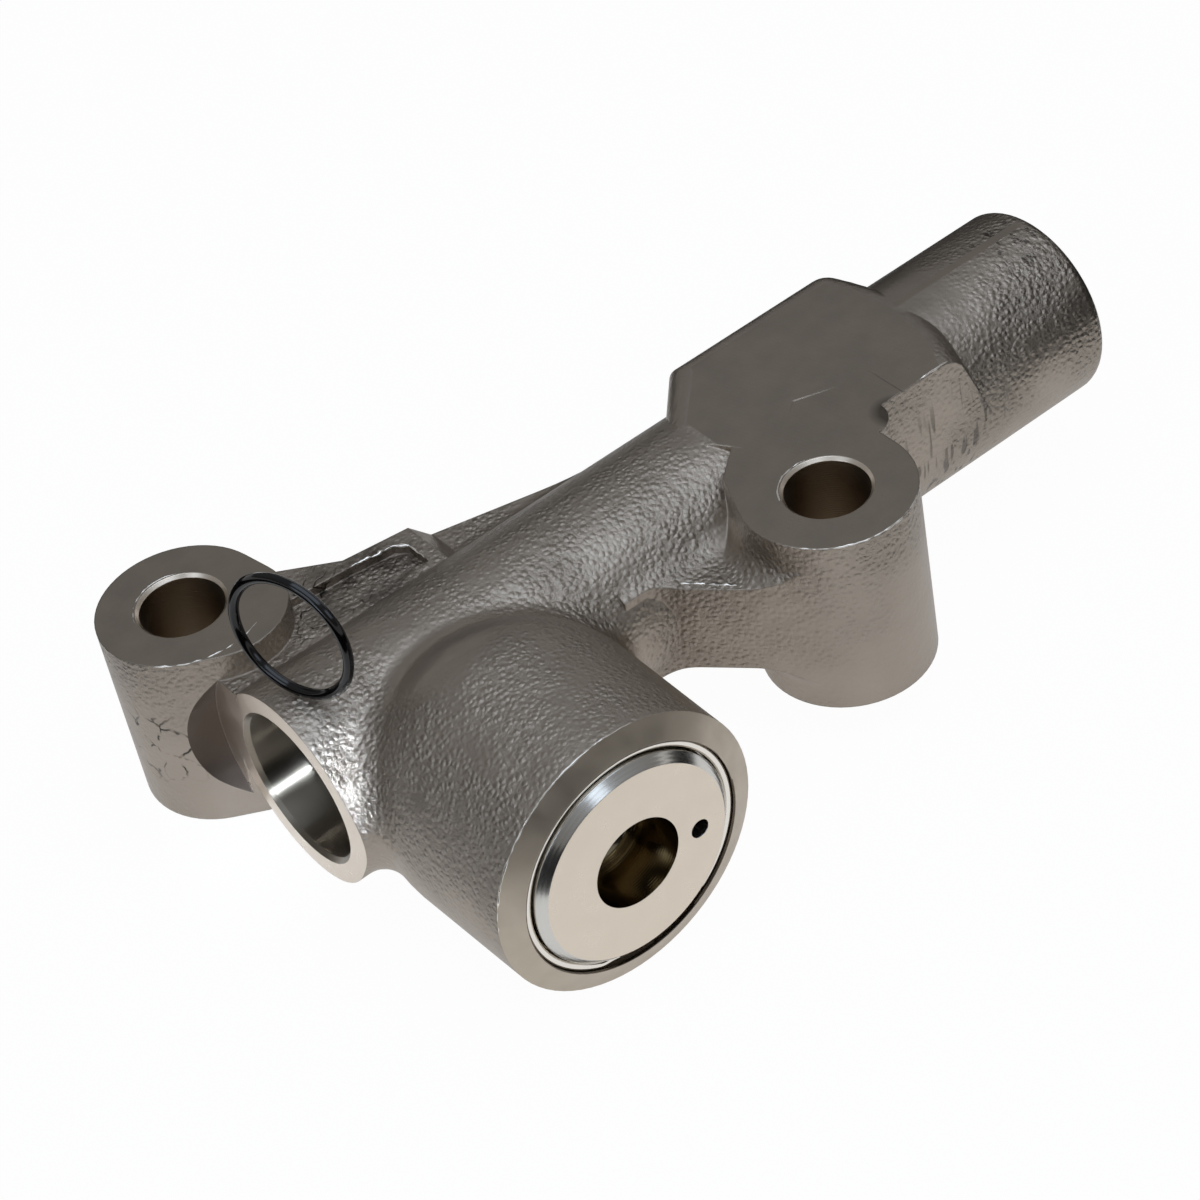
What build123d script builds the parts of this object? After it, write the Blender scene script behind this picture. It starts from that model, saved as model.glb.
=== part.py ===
from build123d import *
from math import acos, atan2, cos, radians, sin, sqrt
import os

# Hydraulic tensioner for an engine's timing drive, in millimetres.
# Origin: centre of the oil feed mouth, on the axis of the long tube.
# +X runs along the tube away from its mouth, the plunger points to -Y, and +Z is up along the bolt holes.
# The casting's parting plane is Z = 0 and holds the axes of the tube and of the barrel.

# Long tube: open mouth at X = 0, closed at the far end
TUBE_R = 11.15
TUBE_LENGTH = 102.8
TUBE_END_ROUND = 1.6
MOUTH_BORE_R = 8.4
MOUTH_BORE_DEPTH = 11.0
MOUTH_CHAMFER = 0.5
TUBE_BORE_R = 6.6
TUBE_BORE_DEPTH = 97.0
SPOTFACE_R = 13.5
SPOTFACE_REACH = 12.0
CUT_REACH = 2.0
TOUCH = 0.01

# Plunger barrel
BARREL_X = 17.2
BARREL_RIM_Y = -32.5
BARREL_R = 15.45
BARREL_DRAFT = 0.3
BARREL_RIM_FLAT_R = 12.9
BARREL_RIM_DROP = 1.1
BARREL_DOME_TOP_Y = -0.25
BARREL_BORE_R = 12.0
BARREL_FLOOR_Y = -11.5
BARREL_MOUTH_R = 12.8
BARREL_MOUTH_DEPTH = 1.5
BARREL_BLEND = 0.225 * BARREL_R

# Bolt bosses
BOSS_TOP_Z = 11.1
BOSS_FOOT_Z = -11.0
BOLT_HOLE_R = 4.5
BOLT_HOLE_CHAMFER = 0.35
FEED_BOSS_X = 2.4
FEED_BOSS_Y = 19.9
FEED_BOSS_R = 9.05
FEED_BOSS_NECK_R = 7.4
FEED_BOSS_NECK_DX = 2.2
FEED_BOSS_NECK_DY = -3.3
FAR_BOSS_X = 58.0
FAR_BOSS_Y = -16.7
FAR_BOSS_R = 9.35
FAR_SHOULDER_DX = -6.1
FAR_SHOULDER_DY = 9.2
FAR_WALL_RISE = 14.1

# Webs
WEB_HALF_THICKNESS = 5.5
WEB_BLEND = 3.0
FAR_TUBE_BLEND = 5.5
WEB_SETBACK = 1.6
FEED_WEB_END_X = 48.0
FEED_WEB_KNEE_X = 29.6
FEED_WEB_KNEE_Y = 14.6
FEED_WEB_NECK_X = 13.8
FEED_WEB_NECK_Y = 19.4
FEED_WEB_START_DX = 0.5
FEED_WEB_BACK_DX = -3.2
FEED_WEB_BACK_DY = 4.3
FAR_WEB_START_X = 39.9
FAR_WEB_START_Y = -9.9
FAR_WEB_FOOT_ROUND = 4.0
PAD_TOP_Z = 8.0
PAD_END_X = 29.5
PAD_CORNER_Y = 15.2
PAD_BACK_DX = -1.0
PAD_BACK_DY = 1.0
PAD_WAIST_DX = 5.5
PAD_WAIST_DY = 0.7
PAD_END_DY = -0.8
PAD_POCKET_DEPTH = 1.1
PAD_RIM = 1.6
POCKET_START_DX = -0.4
POCKET_FRONT_DY = -2.2
POCKET_WAIST_DX = 5.0
POCKET_WAIST_DY = -0.7
POCKET_CORNER = 1.2

# Collar block on the upper half of the tube
COLLAR_START_X = 53.0
COLLAR_AXIS_X = 62.0
COLLAR_TOP_REACH = 22.0
COLLAR_FOOT_REACH = 26.0
COLLAR_HALF_WIDTH = 11.3
COLLAR_TOP_Z = 11.45
COLLAR_ROUND = 3.0
COLLAR_START_ROUND = 2.0
COLLAR_TILT_DEG = 1.5
COLLAR_TILT_FROM_Y = -5.6
COLLAR_SHOULDER_DX = 7.0
COLLAR_SHOULDER_DY = 7.5

# Edge of the milled flat: steps in X from the far boss, and places in Y
FLAT_EDGE = [(-20.0, -2.6), (1.1, -8.1), (6.8, -3.8), (11.3, -5.5), (40.0, -5.6)]

# Plunger and what it holds
PLUNGER_CLEARANCE = 0.04
PLUNGER_PROUD = 0.8
PLUNGER_NOSE_R = 11.1
PLUNGER_FRONT_WALL = 3.0
PLUNGER_CHAMBER_R = 9.5
PLUNGER_HUB_R = 6.6
PLUNGER_STROKE = 5.5
PLUNGER_FLOOR_GAP = 0.5
PLUNGER_EDGE = 0.25
SOCKET_R = 5.0
SOCKET_DEPTH = 6.2
SOCKET_WALL = 1.2
CUP_R = 4.6
CUP_HEIGHT = 2.2
CUP_CLEARANCE = 0.02
CUP_DISH_R = 6.0
CUP_DISH_DEPTH = 1.5
VENT_R = 1.05
VENT_RADIUS = 7.7
VENT_ANGLE = -9.0

# Retaining ring in the barrel's mouth
RING_WIRE_R = 0.6
RING_GAP_DEG = 45.0
RING_GAP_AT_DEG = -85.0
RING_NOSE_CLEARANCE = 0.6
RING_SHOULDER_GAP = 0.05
RING_SETBACK = 0.15
RING_GROOVE_CLEARANCE = 0.05

# Check valve in the floor of the barrel
SEAT_R = 4.0
SEAT_HEIGHT = 3.4
SEAT_RECESS = 0.6
SEAT_CLEARANCE = 0.01
SEAT_HOLE_R = 1.5
PASSAGE_R = 2.2
CHECK_BALL_R = 2.2
CAGE_R = 3.6
CAGE_WALL = 0.6
CAGE_FLANGE_R = 9.3
CAGE_WINDOW_R = 0.9
CAGE_WINDOWS = 4
BALL_SPRING_WIRE_R = 0.18
BALL_SPRING_R = 1.0
BALL_SPRING_TURNS = 3.0
BALL_SPRING_LENGTH = 2.0

# Plunger spring
SPRING_WIRE_R = 0.85
SPRING_R = 8.0
SPRING_TURNS = 4.5

# Accumulator in the closed half of the tube
PISTON_CLEARANCE = 0.05
STOP_RING_X = 44.7
PISTON_LENGTH = 12.0
PISTON_WALL = 1.3
PISTON_CROWN = 4.6
PISTON_GROOVE_FROM_CROWN = 1.8
PISTON_RING_WIDTH = 1.5
PISTON_RING_DEPTH = 1.3
PISTON_RING_CLEARANCE = 0.02
ACC_SPRING_WIRE_R = 0.7
ACC_SPRING_R = 4.3
ACC_SPRING_TURNS = 10.0
STOP_RING_WIDTH = 1.2
STOP_RING_BITE = 0.7
STOP_RING_PROUD = 1.0
STOP_RING_GAP_DEG = 40.0
GROOVE_CLEARANCE = 0.05

# Loose O-ring, standing on the tube's crest beside the mouth
O_RING_WIRE_R = 0.6
O_RING_OUTER_R = 7.45
O_RING_X = 3.8
O_RING_Y = -0.6
O_RING_TURN_DEG = 19.0
O_RING_LEAN_DEG = -5.0
SEAT_GAP = 0.05

# Places that follow from the values above
PLUNGER_FACE_Y = BARREL_RIM_Y - PLUNGER_PROUD
RING_R = PLUNGER_NOSE_R + RING_NOSE_CLEARANCE + RING_WIRE_R
RING_Y = BARREL_RIM_Y + RING_SETBACK + RING_WIRE_R
SHOULDER_Y = RING_Y + RING_WIRE_R + RING_SHOULDER_GAP
PLUNGER_REAR_Y = BARREL_FLOOR_Y - PLUNGER_FLOOR_GAP - PLUNGER_STROKE
CHAMBER_FRONT_Y = PLUNGER_FACE_Y + PLUNGER_FRONT_WALL
SOCKET_FLOOR_Y = PLUNGER_FACE_Y + SOCKET_DEPTH
CUP_FLOOR_Y = SOCKET_FLOOR_Y + CUP_HEIGHT
HUB_REAR_Y = CUP_FLOOR_Y + SOCKET_WALL
SEAT_TOP_Y = BARREL_FLOOR_Y + SEAT_RECESS
SEAT_BASE_Y = SEAT_TOP_Y + SEAT_HEIGHT
BALL_Y = SEAT_TOP_Y - sqrt(CHECK_BALL_R ** 2 - SEAT_HOLE_R ** 2)
BALL_SPRING_LIFT = sqrt((CHECK_BALL_R + BALL_SPRING_WIRE_R) ** 2 - BALL_SPRING_R ** 2) - BALL_SPRING_WIRE_R
BALL_SPRING_Y = BALL_Y - BALL_SPRING_LIFT
CAGE_TOP_Y = BALL_SPRING_Y - BALL_SPRING_LENGTH
FLANGE_TOP_Y = BARREL_FLOOR_Y - CAGE_WALL
PISTON_X = STOP_RING_X + STOP_RING_WIDTH + GROOVE_CLEARANCE


def along_x(x, y=0.0, z=0.0):
    """Plane whose normal runs along +X, seen with +Y to the right."""
    return Plane(origin=(x, y, z), x_dir=(0, 1, 0), z_dir=(1, 0, 0))


def along_minus_y(y, x=BARREL_X, z=0.0):
    """Plane whose normal runs along -Y, out of the barrel."""
    return Plane(origin=(x, y, z), x_dir=(1, 0, 0), z_dir=(0, -1, 0))


def rod(plane, radius, length):
    """Round bar from the plane's origin along its normal."""
    return plane * Cylinder(radius, length, align=(Align.CENTER, Align.CENTER, Align.MIN))


def upright(radius, x, y, z0, z1):
    """Round bar along Z between two heights."""
    return Pos(x, y, z0) * Cylinder(radius, z1 - z0, align=(Align.CENTER, Align.CENTER, Align.MIN))


def prism(points, z0, z1):
    """Straight-sided block over a plan outline."""
    return extrude(Plane.XY.offset(z0) * make_face(Polyline(*points, close=True)), z1 - z0)


def ring_bar(plane, ring_r, wire_r, gap_at, gap_deg):
    """Open ring of round wire lying in the plane, with its gap centred on one angle."""
    path = plane * CenterArc((0, 0), ring_r, gap_at + gap_deg / 2, 360 - gap_deg)
    section = Plane(origin=path @ 0, z_dir=path % 0) * Circle(wire_r)
    return sweep(section, path)


def coil(plane, radius, wire_r, length, turns):
    """Helical spring between two flats: the wire's own thickness is kept inside the length."""
    run = length - 2 * wire_r
    path = plane * Pos(0, 0, wire_r) * Helix(run / turns, run, radius)
    section = Plane(origin=path @ 0, z_dir=path % 0) * Circle(wire_r)
    return sweep(section, path, is_frenet=True)


def tangent_point(centre, radius, point, turn):
    """Where the line from a point touches a circle, on the side given by turn (1 or -1)."""
    dx = point[0] - centre[0]
    dy = point[1] - centre[1]
    angle = atan2(dy, dx) + turn * acos(radius / sqrt(dx * dx + dy * dy))
    return (centre[0] + radius * cos(angle), centre[1] + radius * sin(angle))


def curved_edges(shape):
    """Seams where two round forms of the casting cross."""
    return [e for e in shape.edges() if e.geom_type not in (GeomType.CIRCLE, GeomType.LINE)]


def tube_form():
    """Outside of the long tube, left long at its mouth so that the barrel's blend can run out there."""
    tube = rod(along_x(-BARREL_X), TUBE_R, BARREL_X + TUBE_LENGTH)
    return fillet(tube.edges().group_by(Axis.X)[-1], TUBE_END_ROUND)


def barrel_form():
    """Outside of the barrel: turned rim, drafted side and a domed root, as one turned profile."""
    rim_edge = BARREL_RIM_Y + BARREL_RIM_DROP
    root_r = BARREL_R + BARREL_DRAFT
    dome_y = BARREL_DOME_TOP_Y - root_r
    outline = [
        Line((0, BARREL_RIM_Y), (BARREL_RIM_FLAT_R, BARREL_RIM_Y)),
        Line((BARREL_RIM_FLAT_R, BARREL_RIM_Y), (BARREL_R, rim_edge)),
        Line((BARREL_R, rim_edge), (root_r, dome_y)),
        CenterArc((0, dome_y), root_r, 0, 90),
        Line((0, BARREL_DOME_TOP_Y), (0, BARREL_RIM_Y)),
    ]
    section = Pos(BARREL_X, 0) * make_face(Curve() + outline)
    return revolve(section, Axis((BARREL_X, 0, 0), (0, 1, 0)))


def feed_boss_outline():
    """Plan of the bolt boss beside the feed mouth, drawn out a little towards the tube."""
    neck = (FEED_BOSS_X + FEED_BOSS_NECK_DX, FEED_BOSS_Y + FEED_BOSS_NECK_DY)
    pair = Pos(FEED_BOSS_X, FEED_BOSS_Y) * Circle(FEED_BOSS_R) + Pos(*neck) * Circle(FEED_BOSS_NECK_R)
    return make_hull(pair.edges())


def far_boss_outline():
    """Plan of the other bolt boss with its wall, which runs full height from the tube."""
    centre = (FAR_BOSS_X, FAR_BOSS_Y)
    right = FAR_BOSS_X + FAR_BOSS_R
    front = -COLLAR_HALF_WIDTH
    shoulder = (FAR_BOSS_X + FAR_SHOULDER_DX, FAR_BOSS_Y + FAR_SHOULDER_DY)
    touch = tangent_point(centre, FAR_BOSS_R, shoulder, 1)
    wall = Curve() + [
        Polyline(centre, touch, shoulder, (FAR_BOSS_X, FAR_BOSS_Y + FAR_WALL_RISE), (COLLAR_AXIS_X, 0),
                 (right + 2 * WEB_BLEND, 0), (right + 2 * WEB_BLEND, front), (right + WEB_BLEND, front)),
        RadiusArc((right + WEB_BLEND, front), (right, front - WEB_BLEND), WEB_BLEND),
        Polyline((right, front - WEB_BLEND), (right, FAR_BOSS_Y), centre),
    ]
    return make_face(wall) + Pos(*centre) * Circle(FAR_BOSS_R)


def feed_web_outline():
    """Plan of the web between the feed boss and the tube."""
    x = FEED_BOSS_X + FEED_WEB_START_DX
    back = (FEED_WEB_NECK_X + FEED_WEB_BACK_DX, FEED_WEB_NECK_Y + FEED_WEB_BACK_DY)
    outline = make_face(Polyline((x, 0), (x, FEED_BOSS_Y), back,
                                 (FEED_WEB_NECK_X, FEED_WEB_NECK_Y), (FEED_WEB_KNEE_X, FEED_WEB_KNEE_Y),
                                 (FEED_WEB_END_X, TUBE_R - WEB_SETBACK), (FEED_WEB_END_X, 0), close=True))
    neck = outline.vertices().sort_by_distance((FEED_WEB_NECK_X, FEED_WEB_NECK_Y, 0))[0]
    return fillet(neck, WEB_BLEND)


def far_web_outline():
    """Plan of the web between the far boss and the tube, its foot on the tube rounded out."""
    foot = (FAR_WEB_START_X, FAR_WEB_START_Y)
    centre = (FAR_BOSS_X, FAR_BOSS_Y)
    outline = make_face(Polyline(tangent_point(centre, FAR_BOSS_R, foot, 1), foot,
                                 (FAR_WEB_START_X - FAR_WEB_FOOT_ROUND, FAR_WEB_START_Y),
                                 (FAR_WEB_START_X - FAR_WEB_FOOT_ROUND, 0),
                                 (FAR_BOSS_X, 0), centre, close=True))
    corner = outline.vertices().sort_by_distance((*foot, 0))[0]
    return fillet(corner, FAR_WEB_FOOT_ROUND)


def web_with_boss(core, web):
    """Full-height boss on a thin web, with a round blend where the web meets it on both faces."""
    height = BOSS_TOP_Z - BOSS_FOOT_Z
    boss = extrude(Plane.XY.offset(BOSS_FOOT_Z) * core, height)
    slab = Pos(FAR_BOSS_X / 2, 0) * Box(4 * FAR_BOSS_X, 4 * FAR_BOSS_X, 2 * WEB_HALF_THICKNESS)
    joined = slab + boss
    seams = [e for e in joined.edges() if abs(abs(e.center().Z) - WEB_HALF_THICKNESS) < TOUCH
             and abs(e.center().X - FAR_BOSS_X / 2) < FAR_BOSS_X and abs(e.center().Y) < FAR_BOSS_X]
    joined = fillet(seams, WEB_BLEND)
    return joined & (extrude(Plane.XY.offset(BOSS_FOOT_Z) * web, height) + boss)


def tube_web_blend(side, web, blend):
    """Round blend between the tube's flank and both faces of a web."""
    reach = TUBE_R + blend
    z = WEB_HALF_THICKNESS + blend
    y = sqrt(reach ** 2 - z ** 2)
    k = TUBE_R / reach
    corner = make_face(Polyline((side * y * k, z * k), (side * y, WEB_HALF_THICKNESS),
                                (side * y * k * k, WEB_HALF_THICKNESS), close=True))
    section = corner - Pos(side * y, z) * Circle(blend)
    box = web.bounding_box()
    upper = extrude(along_x(box.min.X) * section, box.size.X)
    upper &= extrude(web, PAD_TOP_Z + BOSS_TOP_Z)
    return upper + mirror(upper, Plane.XY)


def feed_pad():
    """Raised pad on the web beside the feed boss, sloped at its end, with a shallow as-cast pocket."""
    slope = PAD_TOP_Z - WEB_HALF_THICKNESS
    inner = TUBE_R / 2
    back_y = FEED_WEB_NECK_Y + PAD_BACK_DY
    outline = [(0, inner), (0, back_y), (FEED_WEB_NECK_X + PAD_BACK_DX, back_y),
               (FEED_WEB_NECK_X + PAD_WAIST_DX, PAD_CORNER_Y + PAD_WAIST_DY),
               (PAD_END_X, PAD_CORNER_Y + PAD_END_DY), (PAD_END_X, inner)]
    pad = prism(outline, 0, PAD_TOP_Z)
    pad = chamfer(pad.edges().group_by(Axis.Z)[-1].group_by(Axis.X)[-1], slope)
    x0 = FEED_BOSS_X + FEED_BOSS_R + POCKET_START_DX
    y0 = TUBE_R + POCKET_FRONT_DY
    rim_x = PAD_END_X - slope - PAD_RIM
    rim_y = PAD_CORNER_Y - PAD_RIM
    pocket = prism([(x0, y0), (x0, PAD_CORNER_Y),
                    (FEED_WEB_NECK_X + POCKET_WAIST_DX, PAD_CORNER_Y + POCKET_WAIST_DY),
                    (rim_x - POCKET_CORNER, rim_y), (rim_x, rim_y - POCKET_CORNER), (rim_x, y0)],
                   PAD_TOP_Z - PAD_POCKET_DEPTH, PAD_TOP_Z + CUT_REACH)
    return pad, pocket


def collar_form():
    """Squared collar on the upper half of the tube: its top falls to the milled flat, its ends are bowed."""
    w = COLLAR_HALF_WIDTH
    shoulder = COLLAR_START_X + COLLAR_SHOULDER_DX
    end = COLLAR_AXIS_X + COLLAR_FOOT_REACH
    block = prism([(COLLAR_START_X, 0), (COLLAR_START_X, w - COLLAR_SHOULDER_DY), (shoulder, w), (end, w),
                   (end, -w), (shoulder, -w)], 0, COLLAR_TOP_Z)
    above = Pos(COLLAR_AXIS_X, COLLAR_TILT_FROM_Y, BOSS_TOP_Z) * Rot(COLLAR_TILT_DEG, 0, 0)
    block -= above * Box(8 * w, 8 * w, w, align=(Align.CENTER, Align.CENTER, Align.MIN))
    rounded = [e for e in block.edges() if e.center().Z > BOSS_TOP_Z + TOUCH and e.center().Y > COLLAR_ROUND
               and e.center().X < end - COLLAR_ROUND]
    block = fillet(rounded, COLLAR_ROUND)
    start = [e for e in block.edges() if e.center().Z > w - COLLAR_ROUND
             and e.center().X < COLLAR_START_X + TOUCH]
    block = fillet(start, COLLAR_START_ROUND)
    block &= Pos(COLLAR_AXIS_X, 0, 0) * Cone(COLLAR_FOOT_REACH, COLLAR_TOP_REACH, COLLAR_TOP_Z,
                                             align=(Align.CENTER, Align.CENTER, Align.MIN))
    corner = [e for e in block.edges() if e.center().Y > w / 2 and e.center().Z > w / 2
              and e.center().X > COLLAR_AXIS_X + COLLAR_TOP_REACH / 2 and e.geom_type == GeomType.BSPLINE]
    return fillet(corner, COLLAR_ROUND)


def machined_flat():
    """Metal milled off above the bosses, over the far boss and the near side of the collar."""
    edge = [(FAR_BOSS_X + dx, y) for dx, y in FLAT_EDGE]
    reach = FAR_BOSS_Y - 2 * FAR_BOSS_R
    edge += [(edge[-1][0], reach), (edge[0][0], reach)]
    return prism(edge, BOSS_TOP_Z, BOSS_TOP_Z + CUT_REACH)


def bolt_hole(x, y):
    """Clearance hole through a boss, with a small chamfer at both faces."""
    hole = upright(BOLT_HOLE_R, x, y, BOSS_FOOT_Z - CUT_REACH, BOSS_TOP_Z + CUT_REACH)
    wide = BOLT_HOLE_R + 2 * BOLT_HOLE_CHAMFER
    height = 2 * BOLT_HOLE_CHAMFER
    flare = Cone(BOLT_HOLE_R, wide, height)
    hole += Pos(x, y, BOSS_TOP_Z) * flare
    return hole + Pos(x, y, BOSS_FOOT_Z) * mirror(flare, Plane.XY)


def bored(body):
    """Every machined cut: spot face, feed mouth, long bore, barrel, valve pocket and bolt holes."""
    body -= rod(along_x(-SPOTFACE_REACH), SPOTFACE_R, SPOTFACE_REACH)
    body -= rod(along_x(-CUT_REACH), MOUTH_BORE_R, MOUTH_BORE_DEPTH + CUT_REACH)
    body -= along_x(0) * Cone(MOUTH_BORE_R + 2 * MOUTH_CHAMFER, MOUTH_BORE_R, 2 * MOUTH_CHAMFER)
    body -= rod(along_x(0), TUBE_BORE_R, TUBE_BORE_DEPTH)
    body -= rod(along_x(STOP_RING_X - GROOVE_CLEARANCE), TUBE_BORE_R + STOP_RING_BITE + GROOVE_CLEARANCE,
                STOP_RING_WIDTH + 2 * GROOVE_CLEARANCE)
    body -= rod(along_minus_y(BARREL_FLOOR_Y), BARREL_BORE_R, BARREL_FLOOR_Y - BARREL_RIM_Y + CUT_REACH)
    mouth_y = BARREL_RIM_Y + BARREL_MOUTH_DEPTH
    body -= rod(along_minus_y(mouth_y), BARREL_MOUTH_R, BARREL_MOUTH_DEPTH + CUT_REACH)
    body -= along_minus_y(RING_Y) * Torus(RING_R, RING_WIRE_R + RING_GROOVE_CLEARANCE)
    body -= rod(along_minus_y(SEAT_BASE_Y), SEAT_R, SEAT_BASE_Y - BARREL_FLOOR_Y + CUT_REACH)
    body -= rod(along_minus_y(0), PASSAGE_R, -BARREL_FLOOR_Y)
    body -= bolt_hole(FEED_BOSS_X, FEED_BOSS_Y)
    body -= bolt_hole(FAR_BOSS_X, FAR_BOSS_Y)
    return body


def body_casting():
    """Whole casting: outside forms first, then blends, then every machined cut."""
    body = tube_form() + barrel_form()
    body = fillet(curved_edges(body), BARREL_BLEND)
    body = split(body, Plane.YZ, Keep.TOP)
    pad, pocket = feed_pad()
    body += web_with_boss(feed_boss_outline(), feed_web_outline())
    body += web_with_boss(far_boss_outline(), far_web_outline())
    body += tube_web_blend(1, feed_web_outline(), WEB_BLEND)
    body += tube_web_blend(-1, far_web_outline(), FAR_TUBE_BLEND)
    body += pad
    body += collar_form()
    body -= pocket
    body -= machined_flat()
    return bored(body)


def plunger():
    """Turned plunger: guide, smaller nose, spring chamber round a hub, centre socket and vent."""
    nose = rod(along_minus_y(SHOULDER_Y), PLUNGER_NOSE_R, SHOULDER_Y - PLUNGER_FACE_Y)
    nose = chamfer(nose.edges().group_by(Axis.Y)[0], PLUNGER_EDGE)
    guide_r = BARREL_BORE_R - PLUNGER_CLEARANCE
    guide = rod(along_minus_y(PLUNGER_REAR_Y), guide_r, PLUNGER_REAR_Y - SHOULDER_Y)
    guide = chamfer(guide.edges().group_by(Axis.Y)[-1], PLUNGER_EDGE)
    chamber = rod(along_minus_y(PLUNGER_REAR_Y), PLUNGER_CHAMBER_R, PLUNGER_REAR_Y - CHAMBER_FRONT_Y)
    chamber -= rod(along_minus_y(HUB_REAR_Y), PLUNGER_HUB_R, HUB_REAR_Y - CHAMBER_FRONT_Y)
    socket = rod(along_minus_y(SOCKET_FLOOR_Y), SOCKET_R, SOCKET_DEPTH)
    socket += rod(along_minus_y(CUP_FLOOR_Y), CUP_R, CUP_HEIGHT)
    angle = radians(VENT_ANGLE)
    vent_x = BARREL_X + VENT_RADIUS * cos(angle)
    vent = rod(along_minus_y(CHAMBER_FRONT_Y, vent_x, VENT_RADIUS * sin(angle)), VENT_R, PLUNGER_FRONT_WALL)
    return nose + guide - chamber - socket - vent


def plunger_cup():
    """Hardened cup with a round dish, let into the floor of the plunger's socket."""
    cup = rod(along_minus_y(CUP_FLOOR_Y), CUP_R - CUP_CLEARANCE, CUP_HEIGHT)
    dish_y = SOCKET_FLOOR_Y + CUP_DISH_DEPTH - CUP_DISH_R
    return cup - Pos(BARREL_X, dish_y, 0) * Sphere(CUP_DISH_R)


def plunger_retaining_ring():
    """Open wire ring in the barrel's mouth that stops the plunger at its shoulder."""
    return ring_bar(along_minus_y(RING_Y), RING_R, RING_WIRE_R, RING_GAP_AT_DEG, RING_GAP_DEG)


def plunger_spring():
    """Return spring between the cage's flange and the front of the plunger's chamber."""
    length = FLANGE_TOP_Y - CHAMBER_FRONT_Y
    return coil(along_minus_y(FLANGE_TOP_Y), SPRING_R, SPRING_WIRE_R, length, SPRING_TURNS)


def valve_seat():
    """Seat bush of the check valve."""
    seat = rod(along_minus_y(SEAT_BASE_Y), SEAT_R - SEAT_CLEARANCE, SEAT_HEIGHT)
    return seat - rod(along_minus_y(SEAT_BASE_Y), SEAT_HOLE_R, SEAT_HEIGHT)


def check_ball():
    """Ball on the seat's edge."""
    return Pos(BARREL_X, BALL_Y, 0) * Sphere(CHECK_BALL_R)


def check_ball_spring():
    """Small spring between the ball and the top of its cage."""
    return coil(along_minus_y(BALL_SPRING_Y), BALL_SPRING_R, BALL_SPRING_WIRE_R, BALL_SPRING_LENGTH,
                BALL_SPRING_TURNS)


def valve_cage():
    """Pressed cage over the ball, held to the barrel's floor by the plunger spring on its flange."""
    cage = rod(along_minus_y(BARREL_FLOOR_Y), CAGE_FLANGE_R, CAGE_WALL)
    cage += rod(along_minus_y(BARREL_FLOOR_Y), CAGE_R, BARREL_FLOOR_Y - CAGE_TOP_Y + CAGE_WALL)
    cage -= rod(along_minus_y(BARREL_FLOOR_Y), CAGE_R - CAGE_WALL, BARREL_FLOOR_Y - CAGE_TOP_Y)
    for i in range(CAGE_WINDOWS):
        window = Pos(BARREL_X, BALL_Y - CAGE_WINDOW_R, 0) * Rot(0, 45 + i * 360 / CAGE_WINDOWS, 0)
        cage -= window * Pos(0, 0, CAGE_R) * Cylinder(CAGE_WINDOW_R, CAGE_R)
    return cage


def accumulator_piston():
    """Piston of the accumulator: solid crown with a ring groove and a hollow skirt for its spring."""
    radius = TUBE_BORE_R - PISTON_CLEARANCE
    piston = rod(along_x(PISTON_X), radius, PISTON_LENGTH)
    piston -= rod(along_x(PISTON_X + PISTON_CROWN), radius - PISTON_WALL, PISTON_LENGTH - PISTON_CROWN)
    groove = rod(along_x(PISTON_X + PISTON_GROOVE_FROM_CROWN), TUBE_R, PISTON_RING_WIDTH)
    return piston - (groove - rod(along_x(PISTON_X), radius - PISTON_RING_DEPTH, PISTON_LENGTH))


def accumulator_seal_ring():
    """Sealing ring in the piston's groove."""
    x = PISTON_X + PISTON_GROOVE_FROM_CROWN + GROOVE_CLEARANCE
    width = PISTON_RING_WIDTH - 2 * GROOVE_CLEARANCE
    inner = TUBE_BORE_R - PISTON_CLEARANCE - PISTON_RING_DEPTH + GROOVE_CLEARANCE
    return rod(along_x(x), TUBE_BORE_R - PISTON_RING_CLEARANCE, width) - rod(along_x(x), inner, width)


def accumulator_spring():
    """Spring between the piston's crown and the closed end of the tube."""
    start = PISTON_X + PISTON_CROWN
    return coil(along_x(start), ACC_SPRING_R, ACC_SPRING_WIRE_R, TUBE_BORE_DEPTH - start, ACC_SPRING_TURNS)


def accumulator_stop_ring():
    """Flat snap ring that keeps the piston in the tube, its gap upwards."""
    ring = rod(along_x(STOP_RING_X), TUBE_BORE_R + STOP_RING_BITE, STOP_RING_WIDTH)
    ring -= rod(along_x(STOP_RING_X), TUBE_BORE_R - STOP_RING_PROUD, STOP_RING_WIDTH)
    gap = 2 * TUBE_BORE_R * sin(radians(STOP_RING_GAP_DEG / 2))
    return ring - Pos(STOP_RING_X, 0, TUBE_BORE_R) * Box(4 * STOP_RING_WIDTH, gap, TUBE_BORE_R)


def feed_o_ring():
    """Loose seal ring of the feed mouth, standing on the tube's crest as it lies in the photo."""
    ring_r = O_RING_OUTER_R - O_RING_WIRE_R
    lean = radians(O_RING_LEAN_DEG)
    turn = radians(O_RING_TURN_DEG)
    height = TUBE_R + SEAT_GAP + O_RING_WIRE_R + ring_r * cos(lean)
    axis = (cos(turn) * cos(lean), sin(turn) * cos(lean), sin(lean))
    return Plane(origin=(O_RING_X, O_RING_Y, height), z_dir=axis) * Torus(ring_r, O_RING_WIRE_R)


NODES = [body_casting, plunger, plunger_cup, plunger_retaining_ring, plunger_spring, valve_seat, check_ball,
         check_ball_spring, valve_cage, accumulator_piston, accumulator_seal_ring, accumulator_spring,
         accumulator_stop_ring, feed_o_ring]

if __name__ == "__main__":
    os.makedirs("parts", exist_ok=True)
    for make in NODES:
        export_step(make(), "parts/" + make.__name__ + ".step")
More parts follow.
